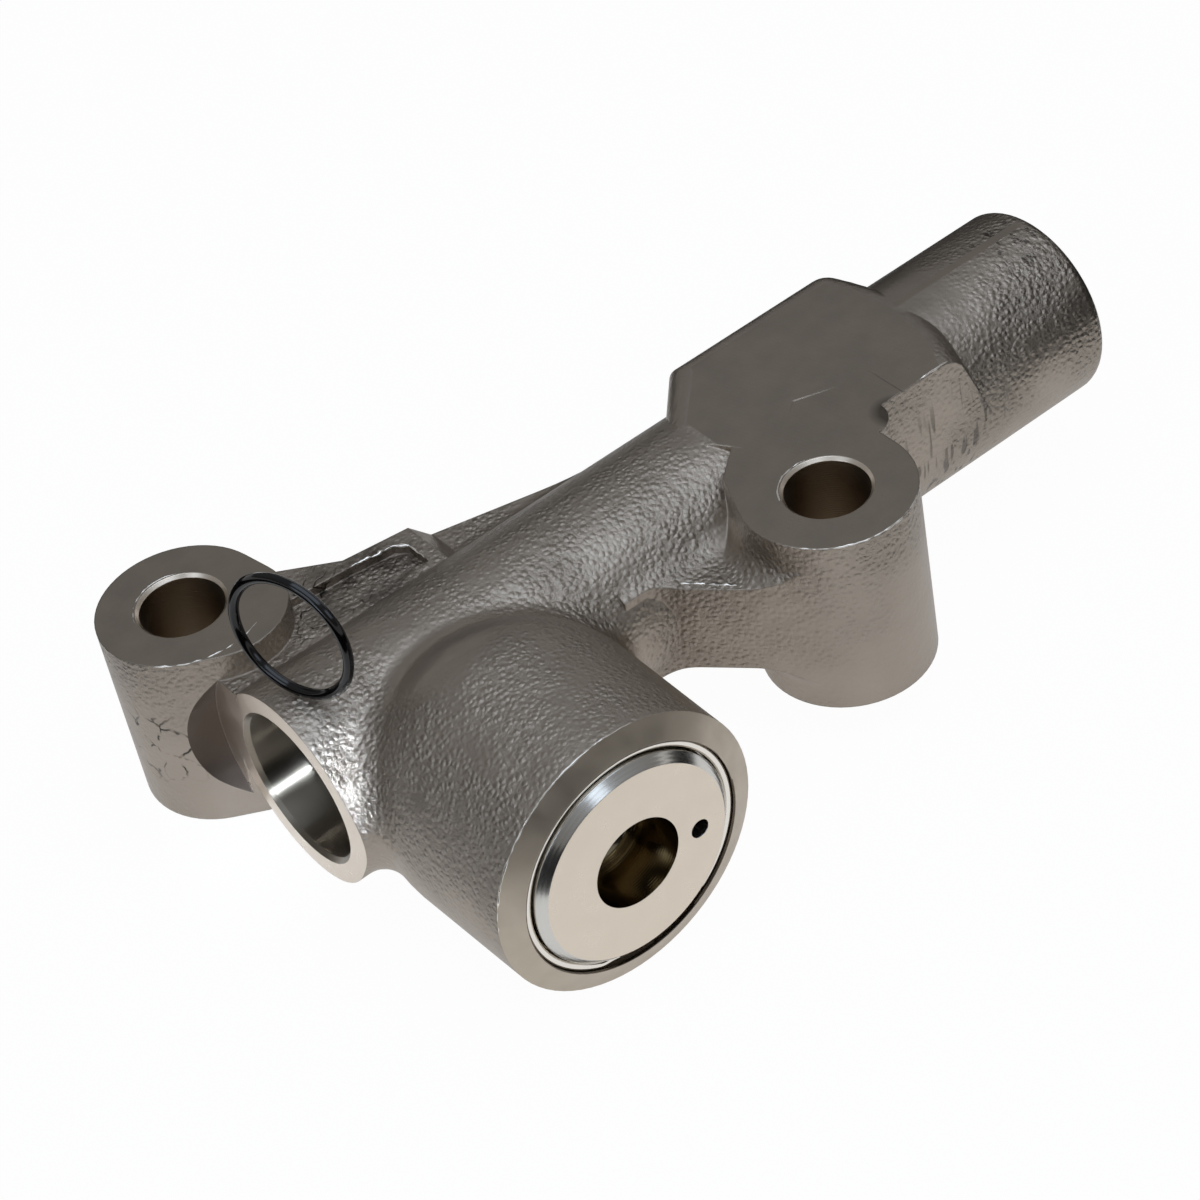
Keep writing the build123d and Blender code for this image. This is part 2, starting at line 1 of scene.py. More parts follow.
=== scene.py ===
"""Looks of a hydraulic timing belt tensioner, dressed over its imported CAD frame.

The camera stands where the photograph was taken from. Everything is in metres, in the frame of the CAD:
+X along the tube, the plunger towards -Y, +Z along the bolt holes. Sizes named in _mm, and the sizes and
places of the pieces, are millimetres of the CAD. Those of lamps, table and band are metres.
"""

import logging
from dataclasses import dataclass
from enum import Enum
from math import cos, hypot, pi, radians, sin, tau

import bmesh
import bpy
from mathutils import Matrix, Vector

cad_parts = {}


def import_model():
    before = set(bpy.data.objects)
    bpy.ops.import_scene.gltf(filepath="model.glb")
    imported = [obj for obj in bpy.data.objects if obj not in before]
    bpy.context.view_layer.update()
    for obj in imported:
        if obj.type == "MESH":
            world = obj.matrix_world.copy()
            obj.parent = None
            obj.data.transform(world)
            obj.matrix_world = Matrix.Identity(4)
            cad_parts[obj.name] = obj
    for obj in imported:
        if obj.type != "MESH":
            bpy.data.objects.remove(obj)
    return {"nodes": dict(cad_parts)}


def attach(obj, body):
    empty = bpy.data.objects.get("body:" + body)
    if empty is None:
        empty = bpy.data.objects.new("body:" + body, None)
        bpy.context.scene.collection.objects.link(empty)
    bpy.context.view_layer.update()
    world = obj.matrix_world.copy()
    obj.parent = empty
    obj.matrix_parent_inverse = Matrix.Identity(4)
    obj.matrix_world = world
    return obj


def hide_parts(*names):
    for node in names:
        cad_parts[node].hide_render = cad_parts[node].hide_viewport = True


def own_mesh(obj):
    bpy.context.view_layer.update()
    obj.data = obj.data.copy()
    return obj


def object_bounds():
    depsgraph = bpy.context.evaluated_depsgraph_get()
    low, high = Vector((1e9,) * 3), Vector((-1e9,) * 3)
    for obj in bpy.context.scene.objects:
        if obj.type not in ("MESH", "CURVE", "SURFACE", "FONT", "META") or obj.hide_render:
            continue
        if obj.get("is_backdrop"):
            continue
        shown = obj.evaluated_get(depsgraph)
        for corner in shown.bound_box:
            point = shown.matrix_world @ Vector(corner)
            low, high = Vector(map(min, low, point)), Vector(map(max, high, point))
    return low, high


log = logging.getLogger("tensioner")

Vec3 = tuple[float, float, float]
Tree = bpy.types.NodeTree
Node = bpy.types.Node
Socket = bpy.types.NodeSocket
Sockets = bpy.types.bpy_prop_collection
Object = bpy.types.Object

MM = 0.001
MERGE_MM = 0.0002
NEAR_MM = 0.01  # places closer than this count as the same place
FLAT_DEG = 0.1  # triangles that turn less than this are one flat face
SQUARE = 0.999  # share of a normal along an axis from which a face counts as square to it
WAVE_BANDS = pi / 10  # a wave texture of scale 1 repeats after this part of a unit
MARK_CORE = 0.55  # share of a mark's radius inside which it is at full strength
EDGE_SAMPLES = 6

# Frames of the round pieces: their own Z runs out of the barrel, or along the tube
OUT_OF_BARREL = Matrix(((1, 0, 0), (0, 0, -1), (0, 1, 0))).to_4x4()
ALONG_TUBE = Matrix(((0, 0, 1), (1, 0, 0), (0, 1, 0))).to_4x4()

# Axes and heights of the casting that several pieces use
BARREL_X = 17.2
FEED_BOSS = (2.4, 19.9)
FAR_BOSS = (58.0, -16.7)
BOSS_TOP = 11.1


class Surface(Enum):
    """How a stretch of the metal's surface was made."""

    CAST = "sand cast"
    MILLED = "face milled"
    MOUTH_FACE = "faced square to the tube"
    SPOT_FACE = "spot faced round the mouth"
    RIM = "turned round the barrel"
    MOUTH_BORE = "bored along the tube"
    BARREL_BORE = "bored along the barrel"
    BOLT_HOLE = "drilled along the bolt"
    GROUND_SIDE = "ground round the plunger"
    GROUND_FACE = "ground across the plunger"
    SOCKET = "bored into the plunger"
    CUP = "hardened and polished"


class Mark(Enum):
    """Local marks in the cast skin."""

    DRESSED = "ground smoother by hand"
    FINE = "finer sand"
    CRACKS = "wrinkles and cold laps"
    STREAKS = "drawn down with the pattern"
    SCAR = "torn dark patch"
    # Dark clouds over the pocket of the web, and on the milled face a patch of painted shade
    DARK_PATCH = "dark clouds on the cast skin, and painted shade on the milled face"


def linear(code: str) -> tuple[float, float, float, float]:
    """Turns an sRGB hex colour into the linear values that a shader takes.

    Args:
        code: Colour such as "#a2998e".

    Returns:
        Linear red, green, blue and an alpha of 1.
    """
    parts = [int(code[i:i + 2], 16) / 255 for i in (1, 3, 5)]
    r, g, b = (c / 12.92 if c <= 0.04045 else ((c + 0.055) / 1.055) ** 2.4 for c in parts)
    return (r, g, b, 1.0)


def per_metre(size_mm: float) -> float:
    """Texture scale that gives one feature of a pattern the real size in millimetres."""
    return 1.0 / (size_mm * MM)


def add(tree: Tree, kind: str, feeds: dict[str | int, object] | None = None, **settings: object) -> Node:
    """Adds a node to a tree with its settings, its values and its links.

    Args:
        tree: Shader or geometry node tree.
        kind: Node type name.
        feeds: Socket name or number, and either a value or the output socket that feeds it.
        settings: Attributes of the node, set before its sockets.

    Returns:
        The new node.
    """
    node = tree.nodes.new(kind)
    for name, value in settings.items():
        setattr(node, name, value)
    for key, value in (feeds or {}).items():
        if isinstance(value, Socket):
            tree.links.new(value, node.inputs[key])
        else:
            node.inputs[key].default_value = value
    return node


def emptied(made: bpy.types.Material | bpy.types.World) -> Tree:
    """Empties the node tree of a new material or world.

    Args:
        made: The material or world.

    Returns:
        Its tree, without the nodes it starts with.
    """
    made.use_nodes = True
    made.node_tree.nodes.clear()
    return made.node_tree


def stand(name: str, data: bpy.types.ID) -> Object:
    """Makes an object of a mesh, a lamp or a camera in the scene.

    Args:
        name: Name of the object.
        data: The mesh, lamp or camera.

    Returns:
        The object.
    """
    made = bpy.data.objects.new(name, data)
    bpy.context.scene.collection.objects.link(made)
    return made


@dataclass(frozen=True)
class Finish:
    """A surface finish. Each kind of finish adds its own look to the shader."""

    name: str
    colour: str
    roughness: float
    metallic: float = 1.0
    marks: tuple[tuple[Mark, Vec3, float], ...] = ()

    def material(self) -> bpy.types.Material:
        """Builds the material, or finds it if another piece already has it.

        Returns:
            The material.
        """
        if self.name in bpy.data.materials:
            return bpy.data.materials[self.name]
        made = bpy.data.materials.new(self.name)
        tree = emptied(made)
        place = add(tree, "ShaderNodeTexCoord").outputs["Object"]
        shader = add(tree, "ShaderNodeBsdfPrincipled", {
            "Base Color": linear(self.colour), "Roughness": self.roughness, "Metallic": self.metallic})
        self.dress(tree, shader, place)
        add(tree, "ShaderNodeOutputMaterial", {"Surface": shader.outputs[0]})
        return made

    def dress(self, tree: Tree, shader: Node, place: Socket) -> None:
        """Adds the pattern of the finish.

        Args:
            tree: The material's node tree.
            shader: Its shader.
            place: Object coordinates.
        """

    def near(self, tree: Tree, place: Socket, kind: Mark) -> Socket | float:
        """Masks all the marks of one kind.

        Args:
            tree: The material's node tree.
            place: Object coordinates.
            kind: Kind of mark.

        Returns:
            The mask: 1 in the middle of the marks and 0 outside them.
        """
        mask = 0.0
        for mark, centre, radius in self.marks:
            if mark is not kind:
                continue
            away = add(tree, "ShaderNodeVectorMath", {0: place, 1: Vector(centre) * MM},
                       operation="DISTANCE")
            spot = add(tree, "ShaderNodeMapRange", {
                "Value": away.outputs["Value"], "From Min": MARK_CORE * radius * MM, "From Max": radius * MM,
                "To Min": 1.0, "To Max": 0.0})
            mask = add(tree, "ShaderNodeMath", {0: mask, 1: spot.outputs[0]}, operation="MAXIMUM").outputs[0]
        return mask


@dataclass(frozen=True)
class CastIronSkin(Finish):
    """Grey iron as it leaves the sand mould and the shot blaster: a skin of pebbles, each a grain of sand.

    Its pattern is relief, so the light draws it: bright specks on a grey ground where a form turns to the
    lamps, and a quiet grain on the flanks. Marks add what the mould and the fettler left in single places,
    and dark clouds over the pocket of the web.
    """

    dark: str = "#35302b"
    grain_mm: float = 0.66
    patch_mm: float = 10.0
    relief_mm: float = 0.15
    wave_mm: float = 4.5
    edge_mm: float = 0.3
    dark_cloud_mm: float = 3.5
    crack_mm: float = 3.0
    crack_bend_mm: float = 1.6
    crack_wave_mm: float = 2.0
    streak_mm: float = 0.75
    scar_mm: float = 1.1
    mark_depth: float = 1.5

    def dress(self, tree: Tree, shader: Node, place: Socket) -> None:
        """Adds grains, patches of coarser and finer sand, slow waviness, and the marks.

        Args:
            tree: The material's node tree.
            shader: Its shader.
            place: Object coordinates.
        """
        patch = add(tree, "ShaderNodeTexNoise", {
            "Vector": place, "Scale": per_metre(self.patch_mm), "Detail": 2.0})
        strength = add(tree, "ShaderNodeMapRange", {
            "Value": patch.outputs[0], "From Min": 0.36, "From Max": 0.6, "To Min": 0.4, "To Max": 1.0})
        fine = add(tree, "ShaderNodeTexNoise", {
            "Vector": place, "Scale": per_metre(0.5 * self.grain_mm), "Detail": 3.0, "Roughness": 0.7})
        grain = add(tree, "ShaderNodeTexVoronoi", {
            "Vector": place, "Scale": per_metre(self.grain_mm), "Randomness": 0.9}, feature="F1")
        dome = add(tree, "ShaderNodeMapRange", {
            "Value": grain.outputs["Distance"], "From Min": 0.0, "From Max": 0.7, "To Min": 1.0,
            "To Max": 0.0}, interpolation_type="SMOOTHSTEP")
        height = add(tree, "ShaderNodeMath", {0: fine.outputs[0], 1: 1.1, 2: dome.outputs[0]},
                     operation="MULTIPLY_ADD")
        for kind, left in ((Mark.DRESSED, 0.1), (Mark.FINE, 0.4)):
            calm = add(tree, "ShaderNodeMapRange", {
                "Value": self.near(tree, place, kind), "To Min": 1.0, "To Max": left})
            strength = add(tree, "ShaderNodeMath", {0: strength.outputs[0], 1: calm.outputs[0]},
                           operation="MULTIPLY")
        tone = add(tree, "ShaderNodeMapRange", {
            "Value": patch.outputs[0], "From Min": 0.3, "From Max": 0.7, "To Min": 0.0, "To Max": 0.14})
        colour = add(tree, "ShaderNodeMix", {
            0: tone.outputs[0], 6: linear(self.colour), 7: linear(self.dark)}, data_type="RGBA")
        for kind, draw in ((Mark.DARK_PATCH, self.dark_clouds), (Mark.CRACKS, self.cracks),
                           (Mark.STREAKS, self.streaks), (Mark.SCAR, self.scar)):
            shown = add(tree, "ShaderNodeMath", {0: draw(tree, place), 1: self.near(tree, place, kind)},
                        operation="MULTIPLY")
            colour = add(tree, "ShaderNodeMix", {
                0: shown.outputs[0], 6: colour.outputs[2], 7: linear(self.dark)}, data_type="RGBA")
            height = add(tree, "ShaderNodeMath", {
                0: shown.outputs[0], 1: -self.mark_depth, 2: height.outputs[0]}, operation="MULTIPLY_ADD")
        wave = add(tree, "ShaderNodeTexNoise", {
            "Vector": place, "Scale": per_metre(self.wave_mm), "Detail": 1.0})
        soft = add(tree, "ShaderNodeBevel", {"Radius": self.edge_mm * MM}, samples=EDGE_SAMPLES)
        uneven = add(tree, "ShaderNodeBump", {
            "Height": wave.outputs[0], "Strength": 0.6, "Distance": 2.5 * self.relief_mm * MM,
            "Normal": soft.outputs[0]})
        pebbled = add(tree, "ShaderNodeBump", {
            "Height": height.outputs[0], "Strength": strength.outputs[0], "Distance": self.relief_mm * MM,
            "Normal": uneven.outputs[0]})
        tree.links.new(colour.outputs[2], shader.inputs["Base Color"])
        tree.links.new(pebbled.outputs[0], shader.inputs["Normal"])

    def dark_clouds(self, tree: Tree, place: Socket) -> Socket:
        """Draws dark clouds a few millimetres wide.

        Args:
            tree: The material's node tree.
            place: Object coordinates.

        Returns:
            How dark each place is.
        """
        clouds = add(tree, "ShaderNodeTexNoise", {
            "Vector": place, "Scale": per_metre(self.dark_cloud_mm), "Detail": 4.0})
        return add(tree, "ShaderNodeMapRange", {
            "Value": clouds.outputs[0], "From Min": 0.4, "From Max": 0.62, "To Min": 0.15,
            "To Max": 0.6}).outputs[0]

    def cracks(self, tree: Tree, place: Socket) -> Socket:
        """Draws thin broken lines a few millimetres long, where the iron met itself half cold in the mould.

        Args:
            tree: The material's node tree.
            place: Object coordinates.

        Returns:
            How dark each place is.
        """
        bent = add(tree, "ShaderNodeTexNoise", {
            "Vector": place, "Scale": per_metre(self.crack_wave_mm), "Detail": 2.0})
        moved = add(tree, "ShaderNodeVectorMath", {
            0: bent.outputs["Color"], 1: (self.crack_bend_mm * MM,) * 3, 2: place}, operation="MULTIPLY_ADD")
        cell = add(tree, "ShaderNodeTexVoronoi", {
            "Vector": moved.outputs[0], "Scale": per_metre(self.crack_mm)}, feature="DISTANCE_TO_EDGE")
        line = add(tree, "ShaderNodeMapRange", {
            "Value": cell.outputs["Distance"], "From Min": 0.01, "From Max": 0.05, "To Min": 1.0,
            "To Max": 0.0})
        gaps = add(tree, "ShaderNodeMapRange", {
            "Value": bent.outputs[0], "From Min": 0.44, "From Max": 0.54, "To Min": 0.0, "To Max": 1.0})
        return add(tree, "ShaderNodeMath", {0: line.outputs[0], 1: gaps.outputs[0]},
                   operation="MULTIPLY").outputs[0]

    def streaks(self, tree: Tree, place: Socket) -> Socket:
        """Draws dark lines under a millimetre wide and several long, made as the pattern left the sand.

        Args:
            tree: The material's node tree.
            place: Object coordinates.

        Returns:
            How dark each place is.
        """
        drawn = add(tree, "ShaderNodeMapping", {"Vector": place, "Scale": (1.0, 1.0, 0.1)})
        lines = add(tree, "ShaderNodeTexNoise", {
            "Vector": drawn.outputs[0], "Scale": per_metre(self.streak_mm), "Detail": 1.0})
        return add(tree, "ShaderNodeMapRange", {
            "Value": lines.outputs[0], "From Min": 0.57, "From Max": 0.66, "To Min": 0.0,
            "To Max": 0.55}).outputs[0]

    def scar(self, tree: Tree, place: Socket) -> Socket:
        """Draws dark torn flecks about a millimetre wide, where the sand broke away.

        Args:
            tree: The material's node tree.
            place: Object coordinates.

        Returns:
            How dark each place is.
        """
        drawn = add(tree, "ShaderNodeMapping", {"Vector": place, "Scale": (1.0, 0.35, 1.0)})
        flecks = add(tree, "ShaderNodeTexNoise", {
            "Vector": drawn.outputs[0], "Scale": per_metre(self.scar_mm), "Detail": 4.0, "Roughness": 0.7})
        return add(tree, "ShaderNodeMapRange", {
            "Value": flecks.outputs[0], "From Min": 0.56, "From Max": 0.62, "To Min": 0.0,
            "To Max": 0.7}).outputs[0]


@dataclass(frozen=True)
class MilledIron(Finish):
    """Iron cut by a face mill: smooth and dull grey, with faint tool arcs.

    The arcs stand half a millimetre apart, coarser than real ones, so that they show.
    """

    dark: str = "#4a443e"
    tool_mm: float = 0.5
    sweep_mm: float = 32.0
    cloud_mm: float = 4.0
    relief_mm: float = 0.004
    edge_mm: float = 0.25

    def dress(self, tree: Tree, shader: Node, place: Socket) -> None:
        """Adds tool arcs about a centre off the part, faint clouding, and dark patches of painted shade.

        Args:
            tree: The material's node tree.
            shader: Its shader.
            place: Object coordinates.
        """
        moved = add(tree, "ShaderNodeMapping", {
            "Vector": place, "Location": (self.sweep_mm * MM, self.sweep_mm * MM, 0.0)})
        arcs = add(tree, "ShaderNodeTexWave", {
            "Vector": moved.outputs[0], "Scale": WAVE_BANDS * per_metre(self.tool_mm), "Distortion": 1.5,
            "Detail": 2.0}, wave_type="RINGS", rings_direction="Z")
        cloud = add(tree, "ShaderNodeTexNoise", {
            "Vector": place, "Scale": per_metre(self.cloud_mm), "Detail": 4.0})
        rough = add(tree, "ShaderNodeMapRange", {
            "Value": cloud.outputs[0], "From Min": 0.3, "From Max": 0.7, "To Min": self.roughness - 0.05,
            "To Max": self.roughness + 0.07})
        tone = add(tree, "ShaderNodeMapRange", {
            "Value": cloud.outputs[0], "From Min": 0.35, "From Max": 0.7, "To Min": 0.0, "To Max": 0.22})
        # Random clouding, plus the painted shade of the dark patches
        shade = add(tree, "ShaderNodeMath", {
            0: self.near(tree, place, Mark.DARK_PATCH), 1: 0.75, 2: tone.outputs[0]}, operation="MULTIPLY_ADD")
        colour = add(tree, "ShaderNodeMix", {
            0: shade.outputs[0], 6: linear(self.colour), 7: linear(self.dark)}, data_type="RGBA")
        soft = add(tree, "ShaderNodeBevel", {"Radius": self.edge_mm * MM}, samples=EDGE_SAMPLES)
        cut = add(tree, "ShaderNodeBump", {
            "Height": arcs.outputs[0], "Strength": 0.5, "Distance": self.relief_mm * MM,
            "Normal": soft.outputs[0]})
        tree.links.new(colour.outputs[2], shader.inputs["Base Color"])
        tree.links.new(rough.outputs[0], shader.inputs["Roughness"])
        tree.links.new(cut.outputs[0], shader.inputs["Normal"])


@dataclass(frozen=True)
class TurnedMetal(Finish):
    """Turned, bored or ground metal: fine grooves round its axis, which draw lights out along the axis.

    The grooves stand a few tenths of a millimetre apart, coarser than real ones, so that they show.
    """

    axis: str = ""
    groove_mm: float = 0.3
    groove_depth_mm: float = 0.012
    cloud_mm: float = 3.0
    edge_mm: float = 0.12
    spread: float = 0.0

    def dress(self, tree: Tree, shader: Node, place: Socket) -> None:
        """Adds clouds to the gloss, and grooves where the metal has an axis.

        Args:
            tree: The material's node tree.
            shader: Its shader.
            place: Object coordinates.
        """
        cloud = add(tree, "ShaderNodeTexNoise", {
            "Vector": place, "Scale": per_metre(self.cloud_mm), "Detail": 4.0})
        rough = add(tree, "ShaderNodeMapRange", {
            "Value": cloud.outputs[0], "From Min": 0.3, "From Max": 0.7, "To Min": 0.85 * self.roughness,
            "To Max": 1.2 * self.roughness})
        normal = add(tree, "ShaderNodeBevel", {"Radius": self.edge_mm * MM}, samples=EDGE_SAMPLES)
        if self.axis:
            groove = add(tree, "ShaderNodeTexWave", {
                "Vector": place, "Scale": WAVE_BANDS * per_metre(self.groove_mm), "Distortion": 0.4,
                "Detail": 1.0}, wave_type="BANDS", bands_direction=self.axis)
            normal = add(tree, "ShaderNodeBump", {
                "Height": groove.outputs[0], "Strength": 1.0, "Distance": self.groove_depth_mm * MM,
                "Normal": normal.outputs[0]})
        if self.spread:
            along = add(tree, "ShaderNodeCombineXYZ", {self.axis: 1.0})
            tree.links.new(along.outputs[0], shader.inputs["Tangent"])
            shader.inputs["Anisotropic"].default_value = self.spread
        tree.links.new(rough.outputs[0], shader.inputs["Roughness"])
        tree.links.new(normal.outputs[0], shader.inputs["Normal"])


@dataclass(frozen=True)
class MouldedRubber(Finish):
    """Black nitrile rubber from a polished mould, with faint flow marks in its gloss."""

    flow_mm: float = 1.2
    specular: float = 0.4

    def dress(self, tree: Tree, shader: Node, place: Socket) -> None:
        """Adds flow marks to the gloss.

        Args:
            tree: The material's node tree.
            shader: Its shader.
            place: Object coordinates.
        """
        flow = add(tree, "ShaderNodeTexNoise", {
            "Vector": place, "Scale": per_metre(self.flow_mm), "Detail": 3.0})
        rough = add(tree, "ShaderNodeMapRange", {
            "Value": flow.outputs[0], "To Min": 0.6 * self.roughness, "To Max": 1.5 * self.roughness})
        tree.links.new(rough.outputs[0], shader.inputs["Roughness"])
        shader.inputs["Specular IOR Level"].default_value = self.specular


# Sand-cast grey iron, shot blasted: a warm grey whose pebbles break every light into specks
CAST_SKIN = CastIronSkin("sand_cast_iron_skin", "#a79c90", 0.4, marks=(
    (Mark.DRESSED, (66.0, 3.0, 10.0), 15.0),
    (Mark.DRESSED, (79.0, 2.0, 10.0), 16.0),
    (Mark.DRESSED, (16.0, -7.0, 14.0), 9.0),
    (Mark.DRESSED, (50.0, -9.0, 3.0), 6.0),
    (Mark.FINE, (58.0, -18.0, -3.0), 19.0),
    (Mark.FINE, (2.0, 21.0, -2.0), 20.0),
    (Mark.CRACKS, (-5.5, 16.5, -1.0), 6.0),
    (Mark.CRACKS, (13.5, 12.5, 6.5), 6.5),
    (Mark.STREAKS, (79.5, -12.0, -1.0), 10.0),
    (Mark.SCAR, (100.0, -1.0, 10.0), 7.0),
    (Mark.DARK_PATCH, (19.0, 12.0, 6.5), 8.0),
))
# The same iron under a face mill: smooth and quiet, so the tops read as one flat plane
MILLED_FACE = MilledIron("face_milled_iron", "#a3988b", 0.32, marks=(
    # Painted shade: a dark patch beside the far boss that stands for the shade of a small hollow
    (Mark.DARK_PATCH, (70.6, -13.1, 11.1), 2.8),))
# Freshly faced iron of the mouth and the chamfers: the palest lines of the casting
MOUTH_FACE = TurnedMetal("faced_iron_mouth", "#e0d3c3", 0.3)
# Iron spot faced behind the mouth, its colour darkened as painted shade from the tube: a dark half-moon that
# lets the mouth stand out
SPOT_FACE = TurnedMetal("spot_faced_iron_painted_shade", "#5c524b", 0.38)
# Turned iron rim: pale and soft, a plain frame round the plunger
TURNED_RIM = TurnedMetal("turned_iron_rim", "#bfb3a3", 0.42)
# Iron bored along the tube: its grooves draw a lamp out into a white bar along the bore
MOUTH_BORE = TurnedMetal("bored_iron_mouth", "#8f8679", 0.36, axis="X", groove_depth_mm=0.003, spread=1.0)
# Honed iron of the barrel, its colour darkened as painted shade of the deep gap: a dark ring round the
# plunger
BARREL_BORE = TurnedMetal("honed_iron_barrel_painted_shade", "#6f665b", 0.3, axis="Y")
# Drilled iron of the bolt holes: brown and dim, deeper the further down
BOLT_HOLE = TurnedMetal("drilled_iron_hole", "#94846f", 0.36, axis="Z")
# Bare iron that a cutter pushed over an edge, near white and laid on the lit sides of edges as a painted
# highlight: thin broken white lines
BURR_HIGHLIGHT = TurnedMetal("bright_iron_burr_painted_highlight", "#f1ebe2", 0.3, edge_mm=0.05)
# Case-hardened steel ground round: brighter and cooler than the iron, with hard bands of light and dark
GROUND_SIDE = TurnedMetal("ground_plunger_side", "#d4d1cb", 0.2, axis="Y", groove_depth_mm=0.004)
# The same steel ground across: one even pale disc
GROUND_FACE = TurnedMetal("ground_plunger_face", "#e3d6c5", 0.3)
# The same steel bored and oily: a brown glossy well with soft glints
SOCKET_WALL = TurnedMetal("bored_plunger_socket", "#8d7f66", 0.14, axis="Y", groove_depth_mm=0.004)
# Hardened and polished steel of the cup: small sharp glints at the bottom of the well
CUP_STEEL = TurnedMetal("hardened_cup_steel", "#b3a88f", 0.1)
# Lapped ball steel: close to a mirror
BALL_STEEL = TurnedMetal("lapped_ball_steel", "#c9c6c0", 0.08)
# Oil-tempered wire: dark brown grey with one dull line of light on each turn
SPRING_WIRE = TurnedMetal("oil_tempered_spring_wire", "#6e665c", 0.34, edge_mm=0.05)
# Pressed strip: plain pale sheet
PRESSED_STEEL = TurnedMetal("pressed_strip_steel", "#b9ad9b", 0.3)
# Polished round wire of the retaining ring: a thin white line with dark beside it
RING_WIRE = TurnedMetal("polished_ring_wire", "#efe8de", 0.14, edge_mm=0.05)
# Nitrile rubber of the seals: near black, with thin hard highlights
RUBBER = MouldedRubber("moulded_nitrile_rubber", "#050404", 0.1, metallic=0.0)
FINISHES = {
    Surface.CAST: CAST_SKIN, Surface.MILLED: MILLED_FACE, Surface.MOUTH_FACE: MOUTH_FACE,
    Surface.SPOT_FACE: SPOT_FACE, Surface.RIM: TURNED_RIM, Surface.MOUTH_BORE: MOUTH_BORE,
    Surface.BARREL_BORE: BARREL_BORE, Surface.BOLT_HOLE: BOLT_HOLE, Surface.GROUND_SIDE: GROUND_SIDE,
    Surface.GROUND_FACE: GROUND_FACE, Surface.SOCKET: SOCKET_WALL, Surface.CUP: CUP_STEEL}


@dataclass(frozen=True)
class Lamp:
    """A square soft lamp. The compass runs from +Y towards +X, and a face of radiance 1 looks white."""

    name: str
    compass_deg: float
    rise_deg: float
    side: float
    radiance: float
    away: float = 0.5
    aim: Vec3 = (0.03, -0.01, 0.0)
    spread_deg: float = 180.0


